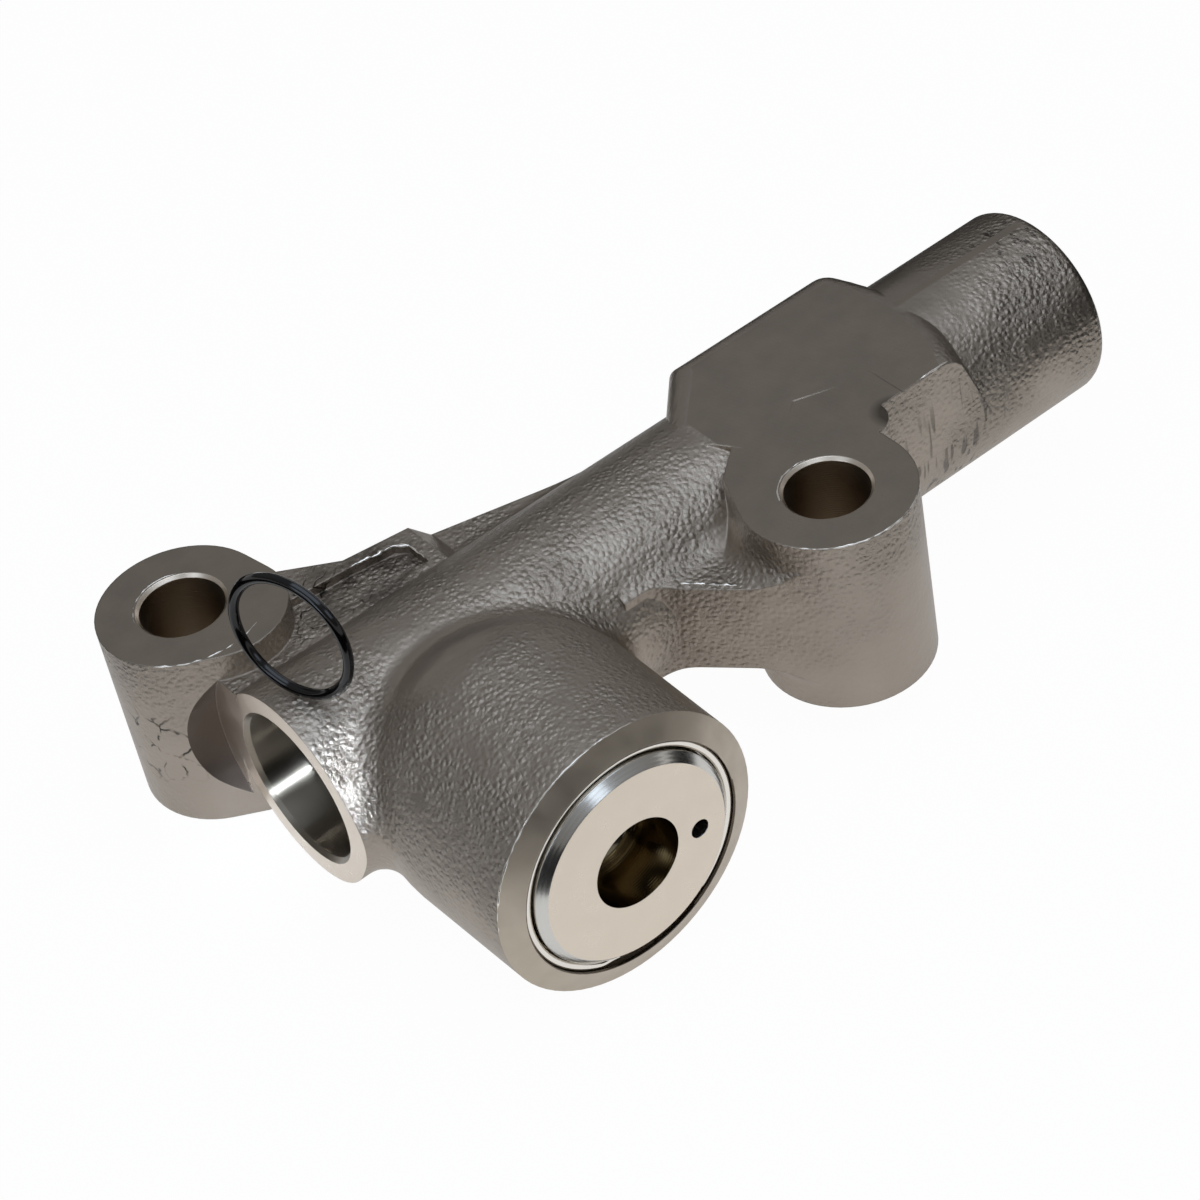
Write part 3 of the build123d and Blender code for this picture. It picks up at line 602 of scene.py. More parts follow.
@dataclass
class Studio:
    """White table with a low sweep round it, dim walls, soft lamps, and the photograph's camera."""

    floor_gap_mm: float = 0.02
    table_radius: float = 2.6
    sweep_radius: float = 0.4
    sweep_steps: int = 12
    wall_height: float = 0.7
    round_steps: int = 64
    weld: float = 1e-6
    camera_share: float = 0.97
    mirror_share: float = 0.6
    lamp_colour: str = "#d6e6fa"
    lamps: tuple[Lamp, ...] = (
        Lamp("overhead_softbox", 170.0, 78.0, 0.42, 2.0),
        Lamp("left_softbox", -103.0, 30.0, 0.26, 2.4, away=0.58),
        Lamp("low_left_softbox", -106.0, 7.0, 0.12, 4.0, away=0.55),
        Lamp("front_softbox", 178.0, 37.0, 0.12, 1.8),
        Lamp("mouth_snoot", -161.0, 31.0, 0.02, 1.9, away=0.25, aim=(0.0, 0.003, -0.003), spread_deg=3.0),
    )
    band_centre: Vec3 = (0.036, -0.003, -0.0155)
    band_radius: float = 0.096
    band_height: float = 0.038
    band_colour: str = "#3a3835"
    wall_low: str = "#6b6864"
    wall_high: str = "#9fa2a6"
    table_colour: str = "#f2f1ef"
    camera_place_mm: Vec3 = (-98.667, -227.738, 235.765)
    camera_ahead: Vec3 = (0.38638, 0.63850, -0.66560)
    camera_right: Vec3 = (0.76750, -0.62280, -0.15190)
    lens_mm: float = 102.39
    sensor_mm: float = 36.0

    def build(self, floor_z: float) -> None:
        """Makes the table, the lamps, the dark band, the world and the camera.

        Args:
            floor_z: Height of the lowest point of the tensioner, in metres.
        """
        self.table(floor_z - self.floor_gap_mm * MM)
        for lamp in self.lamps:
            self.hang(lamp)
        self.dark_band()
        self.walls()
        self.camera()
        log.info("studio: table at %.2f mm, %d lamps, lens %.1f mm", floor_z / MM, len(self.lamps),
                 self.lens_mm)

    def spun(self, name: str, profile: list[tuple[float, float]], centre: Vec3) -> Object:
        """Turns a profile about an upright axis and stages the sheet, which faces its axis.

        Args:
            name: Name of the sheet.
            profile: Radius and height of each point, in metres.
            centre: Where the axis stands.

        Returns:
            The sheet's object.
        """
        form = bmesh.new()
        verts = [form.verts.new((r, 0, h)) for r, h in profile]
        edges = [form.edges.new(pair) for pair in zip(verts, verts[1:])]
        bmesh.ops.spin(form, geom=verts + edges, axis=(0, 0, 1), cent=(0, 0, 0), steps=self.round_steps,
                       angle=tau)
        bmesh.ops.remove_doubles(form, verts=form.verts, dist=self.weld)
        for f in form.faces:
            f.smooth = True
            middle = f.calc_center_median()
            if f.normal.dot(Vector((middle.x, middle.y, 0))) > f.normal.z:
                f.normal_flip()
        bmesh.ops.translate(form, verts=form.verts, vec=centre)
        mesh = bpy.data.meshes.new(name)
        form.to_mesh(mesh)
        form.free()
        sheet = stand(name, mesh)
        sheet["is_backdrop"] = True
        return sheet

    def table(self, z: float) -> None:
        """Makes the table top and its upswept edge as one round sheet.

        The camera and reflections see it as white card, and a share of the card keeps the shadow.

        Args:
            z: Height of the table top, in metres.
        """
        flat = self.table_radius - self.sweep_radius
        profile = [(0.0, z), (flat, z)]
        for i in range(1, self.sweep_steps + 1):
            turn = i * pi / 2 / self.sweep_steps
            profile.append((flat + self.sweep_radius * sin(turn), z + self.sweep_radius * (1 - cos(turn))))
        profile.append((self.table_radius, z + self.wall_height))
        top = self.spun("table", profile, (0.0, 0.0, 0.0))
        made = bpy.data.materials.new("white_table_card")
        tree = emptied(made)
        card = add(tree, "ShaderNodeBsdfDiffuse", {"Color": linear(self.table_colour)})
        white = add(tree, "ShaderNodeEmission", {"Color": (1, 1, 1, 1), "Strength": 1.0})
        ray = add(tree, "ShaderNodeLightPath").outputs
        seen = add(tree, "ShaderNodeMath", {0: ray["Is Camera Ray"], 1: ray["Is Glossy Ray"]},
                   operation="MAXIMUM")
        seen = add(tree, "ShaderNodeMath", {0: seen.outputs[0], 1: ray["Is Transmission Ray"]},
                   operation="MAXIMUM")
        share = add(tree, "ShaderNodeMapRange", {
            "Value": ray["Is Camera Ray"], "To Min": self.mirror_share, "To Max": self.camera_share})
        share = add(tree, "ShaderNodeMath", {0: seen.outputs[0], 1: share.outputs[0]}, operation="MULTIPLY")
        mix = add(tree, "ShaderNodeMixShader", {
            0: share.outputs[0], 1: card.outputs[0], 2: white.outputs[0]})
        add(tree, "ShaderNodeOutputMaterial", {"Surface": mix.outputs[0]})
        top.data.materials.append(made)

    def dark_band(self) -> None:
        """Stands a low dark card round the part, which gives rounded metal its dark flanks.

        Only reflections see it, so that it hides nothing from the camera or the lamps.
        """
        edge = [(self.band_radius, 0.0), (self.band_radius, self.band_height)]
        band = self.spun("dark_band", edge, self.band_centre)
        made = bpy.data.materials.new("dark_card")
        tree = emptied(made)
        card = add(tree, "ShaderNodeBsdfDiffuse", {"Color": linear(self.band_colour)})
        add(tree, "ShaderNodeOutputMaterial", {"Surface": card.outputs[0]})
        band.data.materials.append(made)
        band.visible_camera = band.visible_shadow = band.visible_diffuse = band.visible_transmission = False

    def hang(self, lamp: Lamp) -> None:
        """Hangs a lamp so that it faces what it is aimed at.

        Args:
            lamp: Its place, size and light.
        """
        light = bpy.data.lights.new(lamp.name, "AREA")
        light.shape = "SQUARE"
        light.size = lamp.side
        light.energy = lamp.radiance * pi * lamp.side ** 2
        light.spread = radians(lamp.spread_deg)
        light.color = linear(self.lamp_colour)[:3]
        rise, compass = radians(lamp.rise_deg), radians(lamp.compass_deg)
        out = Vector((cos(rise) * sin(compass), cos(rise) * cos(compass), sin(rise)))
        hung = stand(lamp.name, light)
        hung.location = Vector(lamp.aim) + lamp.away * out
        hung.rotation_mode = "QUATERNION"
        hung.rotation_quaternion = (-out).to_track_quat("-Z", "Y")

    def walls(self) -> None:
        """Gives the world the dim walls of a studio, darker at the height of the table."""
        world = bpy.data.worlds.new("studio_walls")
        tree = emptied(world)
        way = add(tree, "ShaderNodeTexCoord")
        split = add(tree, "ShaderNodeSeparateXYZ", {0: way.outputs["Generated"]})
        height = add(tree, "ShaderNodeMapRange", {
            "Value": split.outputs["Z"], "From Min": 0.15, "From Max": 0.8})
        colour = add(tree, "ShaderNodeMix", {
            0: height.outputs[0], 6: linear(self.wall_low), 7: linear(self.wall_high)}, data_type="RGBA")
        back = add(tree, "ShaderNodeBackground", {"Color": colour.outputs[2], "Strength": 1.0})
        add(tree, "ShaderNodeOutputWorld", {"Surface": back.outputs[0]})
        bpy.context.scene.world = world

    def camera(self) -> None:
        """Puts the camera where the photograph was taken from."""
        data = bpy.data.cameras.new("camera")
        data.lens = self.lens_mm
        data.sensor_width = self.sensor_mm
        data.clip_start = 0.01
        data.clip_end = 20.0
        ahead = Vector(self.camera_ahead).normalized()
        right = Vector(self.camera_right).normalized()
        up = right.cross(ahead)
        place = Matrix.Translation(Vector(self.camera_place_mm) * MM)
        turn = Matrix((right, up, -ahead)).transposed().to_4x4()
        camera = stand("camera", data)
        camera.matrix_world = place @ turn
        bpy.context.scene.camera = camera


def settle(name: str, mesh: bpy.types.Mesh, body: str, slot: str, *nodes: str) -> Object:
    """Stands a finished mesh in the scene, and says what carries it and what it stands for.

    Args:
        name: Name of the piece.
        mesh: Its mesh, already in its place.
        body: CAD body that carries it.
        slot: Material slot of the record; not used.
        nodes: CAD nodes that it replaces.

    Returns:
        The piece.
    """
    piece = stand(name, mesh)
    mesh.name = name
    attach(piece, body)
    if nodes:
        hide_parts(*nodes)
    log.info("%s: %d faces, rides on %s", name, len(mesh.polygons), body)
    return piece


def dress_node(node: Object, finish: Finish) -> None:
    """Gives a carried-over CAD node one finish for its whole surface.

    Args:
        node: The node's object.
        finish: The finish.
    """
    node.data.materials.clear()
    node.data.materials.append(finish.material())
    log.info("%s: %s", node.name, finish.name)


@dataclass
class MachinedPiece:
    """A CAD node's mesh, merged, with its faces sorted by how each was made."""

    node: Object
    name: str
    body: str
    slot: str
    sharp_deg: float = 18.0

    def kind_of(self, centre: Vector, normal: Vector) -> Surface:
        """Says how one face was made, from its centre in millimetres and its normal."""
        return Surface.CUP

    def reshape(self, form: bmesh.types.BMesh) -> None:
        """Changes the merged mesh where the looks need it. Most pieces stay as they are."""

    def build(self) -> None:
        """Builds the dressed piece in place of its CAD node.

        The triangles of each flat face are joined, and edges between differently made faces stay crisp.
        """
        mesh = self.node.data.copy()
        mesh.materials.clear()
        form = bmesh.new()
        form.from_mesh(mesh)
        bmesh.ops.remove_doubles(form, verts=form.verts, dist=MERGE_MM * MM)
        bmesh.ops.dissolve_limit(form, angle_limit=radians(FLAT_DEG), verts=form.verts, edges=form.edges)
        self.reshape(form)
        form.normal_update()
        used: list[Surface] = []
        for f in form.faces:
            f.smooth = True
            kind = self.kind_of(f.calc_center_median() / MM, f.normal)
            if kind not in used:
                used.append(kind)
            f.material_index = used.index(kind)
        for e in form.edges:
            sides = e.link_faces
            e.smooth = (len(sides) == 2 and sides[0].material_index == sides[1].material_index
                        and e.calc_face_angle() < radians(self.sharp_deg))
        for kind in used:
            mesh.materials.append(FINISHES[kind].material())
        form.to_mesh(mesh)
        form.free()
        piece = settle(self.name, mesh, self.body, self.slot, self.node.name)
        level = piece.modifiers.new("level", "WEIGHTED_NORMAL")
        level.keep_sharp = True
        level.weight = 100


@dataclass
class Casting(MachinedPiece):
    """The iron casting, with its cast skin, milled faces, turned rim and bores."""

    boss_foot: float = -11.0
    hole_r: float = 5.4
    hole_side: float = 0.95
    chamfer_side: float = 0.3
    rim_y: float = -32.5
    rim_edge_y: float = -31.3
    rim_r: float = 16.0
    barrel_bore_r: float = 12.85
    barrel_floor_y: float = -8.0
    passage_r: float = 4.2
    tube_bore_r: float = 9.6
    spotface_r: float = 13.5
    spotface_slack: float = 0.6
    spotface_side: float = 0.1
    collar_x: float = 50.0
    collar_low: float = 10.7
    clear_of_tube: float = 2.0

    def kind_of(self, centre: Vector, normal: Vector) -> Surface:
        """Says how one face of the casting was made.

        Args:
            centre: Middle of the face, in millimetres.
            normal: Its normal.

        Returns:
            How it was made.
        """
        x, y, z = centre
        from_tube = hypot(y, z)
        from_barrel = hypot(x - BARREL_X, z)
        if from_tube < self.tube_bore_r and x > NEAR_MM:
            return Surface.MOUTH_BORE
        if abs(x) < NEAR_MM and normal.x < -SQUARE:
            return Surface.MOUTH_FACE
        if (x < 0 and abs(from_tube - self.spotface_r) < self.spotface_slack
                and abs(normal.x) < self.spotface_side):
            return Surface.SPOT_FACE
        if from_barrel < self.barrel_bore_r and self.rim_y + NEAR_MM < y < self.barrel_floor_y:
            return Surface.BARREL_BORE
        if from_barrel < self.passage_r and y < 0:
            return Surface.BARREL_BORE
        if y < self.rim_edge_y and from_barrel < self.rim_r:
            return Surface.RIM
        if any(hypot(x - bx, y - by) < self.hole_r and abs(normal.z) < self.hole_side
               for bx, by in (FEED_BOSS, FAR_BOSS)):
            return Surface.MOUTH_FACE if normal.z > self.chamfer_side else Surface.BOLT_HOLE
        if normal.z > SQUARE and abs(z - BOSS_TOP) < NEAR_MM and abs(y) > self.clear_of_tube:
            return Surface.MILLED
        if normal.z > SQUARE and z > self.collar_low and x > self.collar_x:
            return Surface.MILLED
        if normal.z < -SQUARE and abs(z - self.boss_foot) < NEAR_MM and abs(y) > self.clear_of_tube:
            return Surface.MILLED
        return Surface.CAST


@dataclass
class PlungerBody(MachinedPiece):
    """The ground plunger, with its side, face and socket finished apart."""

    face_y: float = -33.3
    socket_r: float = 5.1
    nose_r: float = 11.1
    edge: float = 0.25
    cone: float = 0.9

    def reshape(self, form: bmesh.types.BMesh) -> None:
        """Widens the small chamfer of the nose into the polished cone that the photograph shows.

        Args:
            form: The plunger's merged mesh.
        """
        inner_r = self.nose_r - self.edge
        growth = self.cone / self.edge
        for v in form.verts:
            x, y, z = v.co / MM
            r = hypot(x - BARREL_X, z)
            if not inner_r + 0.1 * NEAR_MM < r < self.nose_r + NEAR_MM:
                continue
            grown = (r - inner_r) * growth + inner_r
            deep = y - self.face_y
            if deep < self.edge + NEAR_MM:
                y = self.face_y + min(deep, self.edge) * growth
            v.co = Vector((BARREL_X + (x - BARREL_X) * grown / r, y, z * grown / r)) * MM

    def kind_of(self, centre: Vector, normal: Vector) -> Surface:
        """Says how one face of the plunger was made.

        Args:
            centre: Middle of the face, in millimetres.
            normal: Its normal.

        Returns:
            How it was made.
        """
        if abs(centre.y - self.face_y) < NEAR_MM and normal.y < -SQUARE:
            return Surface.GROUND_FACE
        if hypot(centre.x - BARREL_X, centre.z) < self.socket_r:
            return Surface.SOCKET
        return Surface.GROUND_SIDE


def start_tree(name: str, **inputs: str) -> tuple[Tree, Sockets]:
    """Starts a geometry node tree with named inputs.

    Args:
        name: Name of the tree.
        inputs: Name of each input and its kind, such as "Float".

    Returns:
        The tree, and the sockets that bring in its inputs.
    """
    tree = bpy.data.node_groups.new(name, "GeometryNodeTree")
    tree.interface.new_socket("Geometry", in_out="INPUT", socket_type="NodeSocketGeometry")
    for label, kind in inputs.items():
        tree.interface.new_socket(label, in_out="INPUT", socket_type="NodeSocket" + kind)
    tree.interface.new_socket("Geometry", in_out="OUTPUT", socket_type="NodeSocketGeometry")
    return tree, tree.nodes.new("NodeGroupInput").outputs


def end_tree(tree: Tree, given: Sockets, grown: Node) -> None:
    """Ends a geometry node tree: smooth shading, real instances, and the finish of the input.

    Args:
        tree: The tree.
        given: Sockets that bring in its inputs.
        grown: Node that gives the mesh.
    """
    smooth = add(tree, "GeometryNodeSetShadeSmooth", {0: grown.outputs[0]})
    real = add(tree, "GeometryNodeRealizeInstances", {0: smooth.outputs[0]})
    dressed = add(tree, "GeometryNodeSetMaterial", {0: real.outputs[0], "Material": given["Finish"]})
    add(tree, "NodeGroupOutput", {0: dressed.outputs[0]})


def end_wire(tree: Tree, given: Sockets, path: Node, sides: int, radius: Socket | float,
             **more: Socket) -> None:
    """Sweeps a round wire with flat ends along a path, and ends the tree with it.

    Args:
        tree: The tree.
        given: Sockets that bring in its inputs.
        path: Node that gives the path.
        sides: Sides of the wire.
        radius: Its radius.
        more: Further feeds of the sweep.
    """
    section = add(tree, "GeometryNodeCurvePrimitiveCircle", {"Resolution": sides, "Radius": radius})
    end_tree(tree, given, add(tree, "GeometryNodeCurveToMesh", {
        "Curve": path.outputs[0], "Profile Curve": section.outputs[0], "Fill Caps": True, **more}))


def from_end(tree: Tree) -> Socket:
    """Works out how far a point lies from the nearer end of its curve.

    Args:
        tree: The tree.

    Returns:
        The way as a share of the curve.
    """
    along = add(tree, "GeometryNodeSplineParameter").outputs["Factor"]
    other = add(tree, "ShaderNodeMath", {0: 1.0, 1: along}, operation="SUBTRACT")
    return add(tree, "ShaderNodeMath", {0: along, 1: other.outputs[0]}, operation="MINIMUM").outputs[0]


def grow(tree: Tree, place: Matrix, source: bpy.types.Mesh | None = None,
         **values: object) -> bpy.types.Mesh:
    """Runs a geometry node tree once and returns its result as a plain mesh in its place.

    Args:
        tree: The tree.
        place: Turn and place of the result, in metres.
        source: Mesh that the tree starts from, or None where it starts from nothing.
        values: Value of each named input.

    Returns:
        The plain mesh.
    """
    holder = stand("holder", source or bpy.data.meshes.new("empty"))
    modifier = holder.modifiers.new("grow", "NODES")
    modifier.node_group = tree
    for item in tree.interface.items_tree:
        if item.in_out == "INPUT" and item.name in values:
            modifier[item.identifier] = values[item.name]
    bpy.context.view_layer.update()
    seen = holder.evaluated_get(bpy.context.evaluated_depsgraph_get())
    mesh = bpy.data.meshes.new_from_object(seen)
    holder.modifiers.remove(modifier)
    bpy.data.objects.remove(holder)
    mesh.transform(place)
    return mesh


def spring_tree(wire_sides: int = 12, closed_pitch: float = 2.06) -> Tree:
    """Makes the tree of a compression spring: a helix along +Z whose end turns lie closed on each other.

    Args:
        wire_sides: Sides of the round wire.
        closed_pitch: Rise of a closed turn in wire radii, a little over two so that the turns stay apart.

    Returns:
        The tree.
    """
    tree, given = start_tree("wound_spring", Radius="Float", Wire="Float", Length="Float", Turns="Float",
                             Closed="Float", Points="Int", Finish="Material")
    line = add(tree, "GeometryNodeCurvePrimitiveLine")
    path = add(tree, "GeometryNodeResampleCurve", {"Curve": line.outputs[0], "Count": given["Points"]})
    along = add(tree, "GeometryNodeSplineParameter")
    turn = add(tree, "ShaderNodeMath", {0: along.outputs["Factor"], 1: given["Turns"]}, operation="MULTIPLY")
    angle = add(tree, "ShaderNodeMath", {0: turn.outputs[0], 1: tau}, operation="MULTIPLY")
    open_to = add(tree, "ShaderNodeMath", {0: given["Turns"], 1: given["Closed"]}, operation="SUBTRACT")
    lift = add(tree, "ShaderNodeMath", {0: given["Closed"], 1: given["Wire"]}, operation="MULTIPLY")
    lift = add(tree, "ShaderNodeMath", {0: lift.outputs[0], 1: closed_pitch}, operation="MULTIPLY")
    taken = add(tree, "ShaderNodeMath", {0: lift.outputs[0], 1: given["Wire"]}, operation="ADD")
    free = add(tree, "ShaderNodeMath", {0: taken.outputs[0], 1: -2.0, 2: given["Length"]},
               operation="MULTIPLY_ADD")
    height = given["Wire"]
    for start, stop, rise in ((0.0, given["Closed"], lift), (given["Closed"], open_to.outputs[0], free),
                              (open_to.outputs[0], given["Turns"], lift)):
        part = add(tree, "ShaderNodeMapRange", {
            "Value": turn.outputs[0], "From Min": start, "From Max": stop, "To Min": 0.0,
            "To Max": rise.outputs[0]})
        height = add(tree, "ShaderNodeMath", {0: height, 1: part.outputs[0]}, operation="ADD").outputs[0]
    across = []
    for side in ("COSINE", "SINE"):
        share = add(tree, "ShaderNodeMath", {0: angle.outputs[0]}, operation=side)
        across.append(add(tree, "ShaderNodeMath", {0: share.outputs[0], 1: given["Radius"]},
                          operation="MULTIPLY").outputs[0])
    spot = add(tree, "ShaderNodeCombineXYZ", {0: across[0], 1: across[1], 2: height})
    helix = add(tree, "GeometryNodeSetPosition", {"Geometry": path.outputs[0], "Position": spot.outputs[0]})
    end_wire(tree, given, helix, wire_sides, given["Wire"])
    return tree


def bent_ring_tree(steps: int = 180, wire_sides: int = 16) -> Tree:
    """Makes the tree of an open ring of round wire about +Z, whose two ends turn inwards as small tabs.

    Args:
        steps: Points round the ring.
        wire_sides: Sides of the round wire.

    Returns:
        The tree.
    """
    tree, given = start_tree("bent_ring", Radius="Float", Wire="Float", Start="Float", Sweep="Float",
                             Bend="Float", Finish="Material")
    arc = add(tree, "GeometryNodeCurveArc", {
        "Resolution": steps, "Radius": given["Radius"], "Start Angle": given["Start"],
        "Sweep Angle": given["Sweep"]}, mode="RADIUS")
    bent = add(tree, "ShaderNodeMapRange", {
        "Value": from_end(tree), "From Min": 0.005, "From Max": 0.035, "To Min": 1.0, "To Max": 0.0},
        interpolation_type="SMOOTHSTEP")
    inward = add(tree, "ShaderNodeMath", {0: bent.outputs[0], 1: given["Bend"]}, operation="MULTIPLY")
    ratio = add(tree, "ShaderNodeMath", {0: inward.outputs[0], 1: given["Radius"]}, operation="DIVIDE")
    keep = add(tree, "ShaderNodeMath", {0: 1.0, 1: ratio.outputs[0]}, operation="SUBTRACT")
    here = add(tree, "GeometryNodeInputPosition")
    drawn = add(tree, "ShaderNodeVectorMath", {0: here.outputs[0], "Scale": keep.outputs[0]},
                operation="SCALE")
    path = add(tree, "GeometryNodeSetPosition", {
        "Geometry": arc.outputs["Curve"], "Position": drawn.outputs[0]})
    end_wire(tree, given, path, wire_sides, given["Wire"])
    return tree


def seal_tree(steps: int = 144, wire_sides: int = 40, thinness: float = 60.0) -> Tree:
    """Makes the tree of an O-ring about +Z: a round section with the fine flash of its mould in and outside.

    Args:
        steps: Points round the ring.
        wire_sides: Points round its section.
        thinness: Power that narrows the flash to a thin lip.

    Returns:
        The tree.
    """
    tree, given = start_tree("moulded_seal", Radius="Float", Wire="Float", Flash="Float", Finish="Material")
    ring = add(tree, "GeometryNodeCurvePrimitiveCircle", {"Resolution": steps, "Radius": given["Radius"]})
    section = add(tree, "GeometryNodeCurvePrimitiveCircle", {
        "Resolution": wire_sides, "Radius": given["Wire"]})
    here = add(tree, "GeometryNodeInputPosition")
    split = add(tree, "ShaderNodeSeparateXYZ", {0: here.outputs[0]})
    side = add(tree, "ShaderNodeMath", {0: split.outputs["X"], 1: given["Wire"]}, operation="DIVIDE")
    flat = add(tree, "ShaderNodeMath", {0: side.outputs[0], 1: side.outputs[0]}, operation="MULTIPLY")
    peak = add(tree, "ShaderNodeMath", {0: flat.outputs[0], 1: thinness}, operation="POWER")
    out = add(tree, "ShaderNodeMath", {0: peak.outputs[0], 1: side.outputs[0]}, operation="MULTIPLY")
    out = add(tree, "ShaderNodeMath", {0: out.outputs[0], 1: given["Flash"]}, operation="MULTIPLY")
    push = add(tree, "ShaderNodeCombineXYZ", {0: out.outputs[0]})
    lipped = add(tree, "GeometryNodeSetPosition", {
        "Geometry": section.outputs[0], "Offset": push.outputs[0]})
    body = add(tree, "GeometryNodeCurveToMesh", {
        "Curve": ring.outputs[0], "Profile Curve": lipped.outputs[0]})
    end_tree(tree, given, body)
    return tree


def burr_highlight_tree(wire_sides: int = 6) -> Tree:
    """Makes the tree of a burr, which also serves as a painted highlight: a thread of metal along the edges
    of a mesh, of uneven thickness.

    Args:
        wire_sides: Sides of the thread.

    Returns:
        The tree.
    """
    tree, given = start_tree("edge_burr_highlight", Thickness="Float", Wander="Float", Lump="Float", Step="Float",
                             Finish="Material")
    path = add(tree, "GeometryNodeMeshToCurve", {"Mesh": given["Geometry"]})
    path = add(tree, "GeometryNodeResampleCurve", {"Curve": path.outputs[0], "Length": given["Step"]},
               mode="LENGTH")
    scale = add(tree, "ShaderNodeMath", {0: 1.0, 1: given["Lump"]}, operation="DIVIDE")
    lumps = add(tree, "ShaderNodeTexNoise", {"Scale": scale.outputs[0], "Detail": 3.0})
    centred = add(tree, "ShaderNodeVectorMath", {0: lumps.outputs["Color"], 1: (0.5, 0.5, 0.5)},
                  operation="SUBTRACT")
    shift = add(tree, "ShaderNodeVectorMath", {0: centred.outputs[0], "Scale": given["Wander"]},
                operation="SCALE")
    path = add(tree, "GeometryNodeSetPosition", {"Geometry": path.outputs[0], "Offset": shift.outputs[0]})
    thick = add(tree, "ShaderNodeMapRange", {
        "Value": lumps.outputs[0], "From Min": 0.4, "From Max": 0.62, "To Min": 0.05, "To Max": 1.0})
    fade = add(tree, "ShaderNodeMapRange", {
        "Value": from_end(tree), "From Min": 0.0, "From Max": 0.15, "To Min": 0.1, "To Max": 1.0})
    size = add(tree, "ShaderNodeMath", {0: thick.outputs[0], 1: fade.outputs[0]}, operation="MULTIPLY")
    size = add(tree, "ShaderNodeMath", {0: size.outputs[0], 1: given["Thickness"]}, operation="MULTIPLY")
    end_wire(tree, given, path, wire_sides, 1.0, Scale=size.outputs[0])
    return tree


@dataclass
class BurrsAndHighlights:
    """Bright threads of burr and chip along a few edges of the casting: partly what the cutters and the
    fettler left, partly painted highlight on the edges' lit sides.
    """

    thickness: float = 0.12
    wander: float = 0.22
    lump: float = 0.9
    step: float = 0.3
    burr_highlight_scale: float = 1.1
    chip_highlight_scale: float = 2.4
    top_z: float = 11.08
    barrel_y: float = -31.42
    barrel_r: float = 15.42
    far_boss_r: float = 9.32
    feed_boss_r: float = 9.02
    hole_r: float = 5.05
    web_chip_highlights: tuple[Vec3, ...] = ((41.0, -9.9, 5.5), (43.4, -12.7, 5.5), (46.2, -16.3, 5.5))
    web_highlight_streaks: tuple[tuple[Vec3, ...], ...] = (
        ((47.3, -14.0, 5.6), (46.7, -16.2, 5.52)), ((48.2, -14.6, 5.7), (47.6, -16.6, 5.55)),
        ((46.2, -13.6, 5.55), (45.4, -15.2, 5.5)))
    collar_edge: tuple[Vec3, ...] = ((75.4, -11.3, 11.1), (79.8, -11.3, 11.1))
    pocket_rim: tuple[Vec3, ...] = (
        (19.3, 14.5, 8.0), (24.2, 13.6, 8.0), (25.4, 12.4, 8.0), (25.4, 9.6, 8.0))

    def arc(self, centre: Vec3, radius: float, start: int, stop: int, second: Vector) -> list[Vec3]:
        """Points of an arc every two degrees, in the plane of +X and a second direction.

        Args:
            centre: Middle of the arc.
            radius: Its radius.
            start: Angle of its first point from +X, in degrees.
            stop: Angle of its last point.
            second: Direction at 90 degrees.

        Returns:
            The points.
        """
        steps = (stop - start) // 2
        turns = [radians(start + (stop - start) * i / steps) for i in range(steps + 1)]
        first = Vector((1, 0, 0))
        return [tuple(Vector(centre) + radius * (cos(t) * first + sin(t) * second)) for t in turns]

    def build(self) -> None:
        """Builds thin burr threads along the cut edges and coarser chip threads along the web and the
        pocket, both also painted highlights.
        """
        up, back = Vector((0, 0, 1)), Vector((0, 1, 0))
        far, feed = (*FAR_BOSS, self.top_z), (*FEED_BOSS, self.top_z)
        # Each arc runs only over the side of its edge where light catches it: painted highlight
        burr_highlights = [self.arc((BARREL_X, self.barrel_y, 0.0), self.barrel_r, 75, 178, up),
                 self.arc(far, self.far_boss_r, -160, -50, back),
                 self.arc(feed, self.feed_boss_r, -150, -62, back),
                 self.arc(far, self.hole_r, 62, 165, back),
                 self.arc(feed, self.hole_r, 62, 165, back),
                 self.collar_edge]
        chip_highlights = [self.web_chip_highlights, *self.web_highlight_streaks, self.pocket_rim]
        tree = burr_highlight_tree()
        for name, lines, scale in (("cutter_burrs_painted_highlight", burr_highlights, self.burr_highlight_scale),
                                   ("edge_chips_painted_highlight", chip_highlights, self.chip_highlight_scale)):
            form = bmesh.new()
            for line in lines:
                verts = [form.verts.new(Vector(p) * MM) for p in line]
                for pair in zip(verts, verts[1:]):
                    form.edges.new(pair)
            lines_mesh = bpy.data.meshes.new(name + "_lines")
            form.to_mesh(lines_mesh)
            form.free()
            mesh = grow(tree, Matrix(), lines_mesh, Thickness=scale * self.thickness * MM,
                        Wander=scale * self.wander * MM, Lump=self.lump * MM, Step=self.step * MM,
                        Finish=BURR_HIGHLIGHT.material())
            settle(name, mesh, "housing", "cast_body")


@dataclass
class Spring:
    """A wound compression spring with closed ends."""

    name: str
    node: str
    joint: str
    frame: Matrix
    origin: Vec3
    radius: float
    wire: float
    length: float
    turns: float
    travel: float
    fixed_at_origin: bool
    closed: float = 0.75
    points_per_turn: int = 40

    def build(self, tree: Tree) -> None:
        """Winds the spring.

        Args:
            tree: Node tree of the springs.
        """
        place = Matrix.Translation(Vector(self.origin) * MM) @ self.frame
        mesh = grow(tree, place, Radius=self.radius * MM, Wire=self.wire * MM, Length=self.length * MM,
                    Turns=self.turns, Closed=self.closed, Points=int(self.points_per_turn * self.turns),
                    Finish=SPRING_WIRE.material())
        piece = settle(self.name, mesh, "housing", "spring_steel", self.node)
        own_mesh(piece)


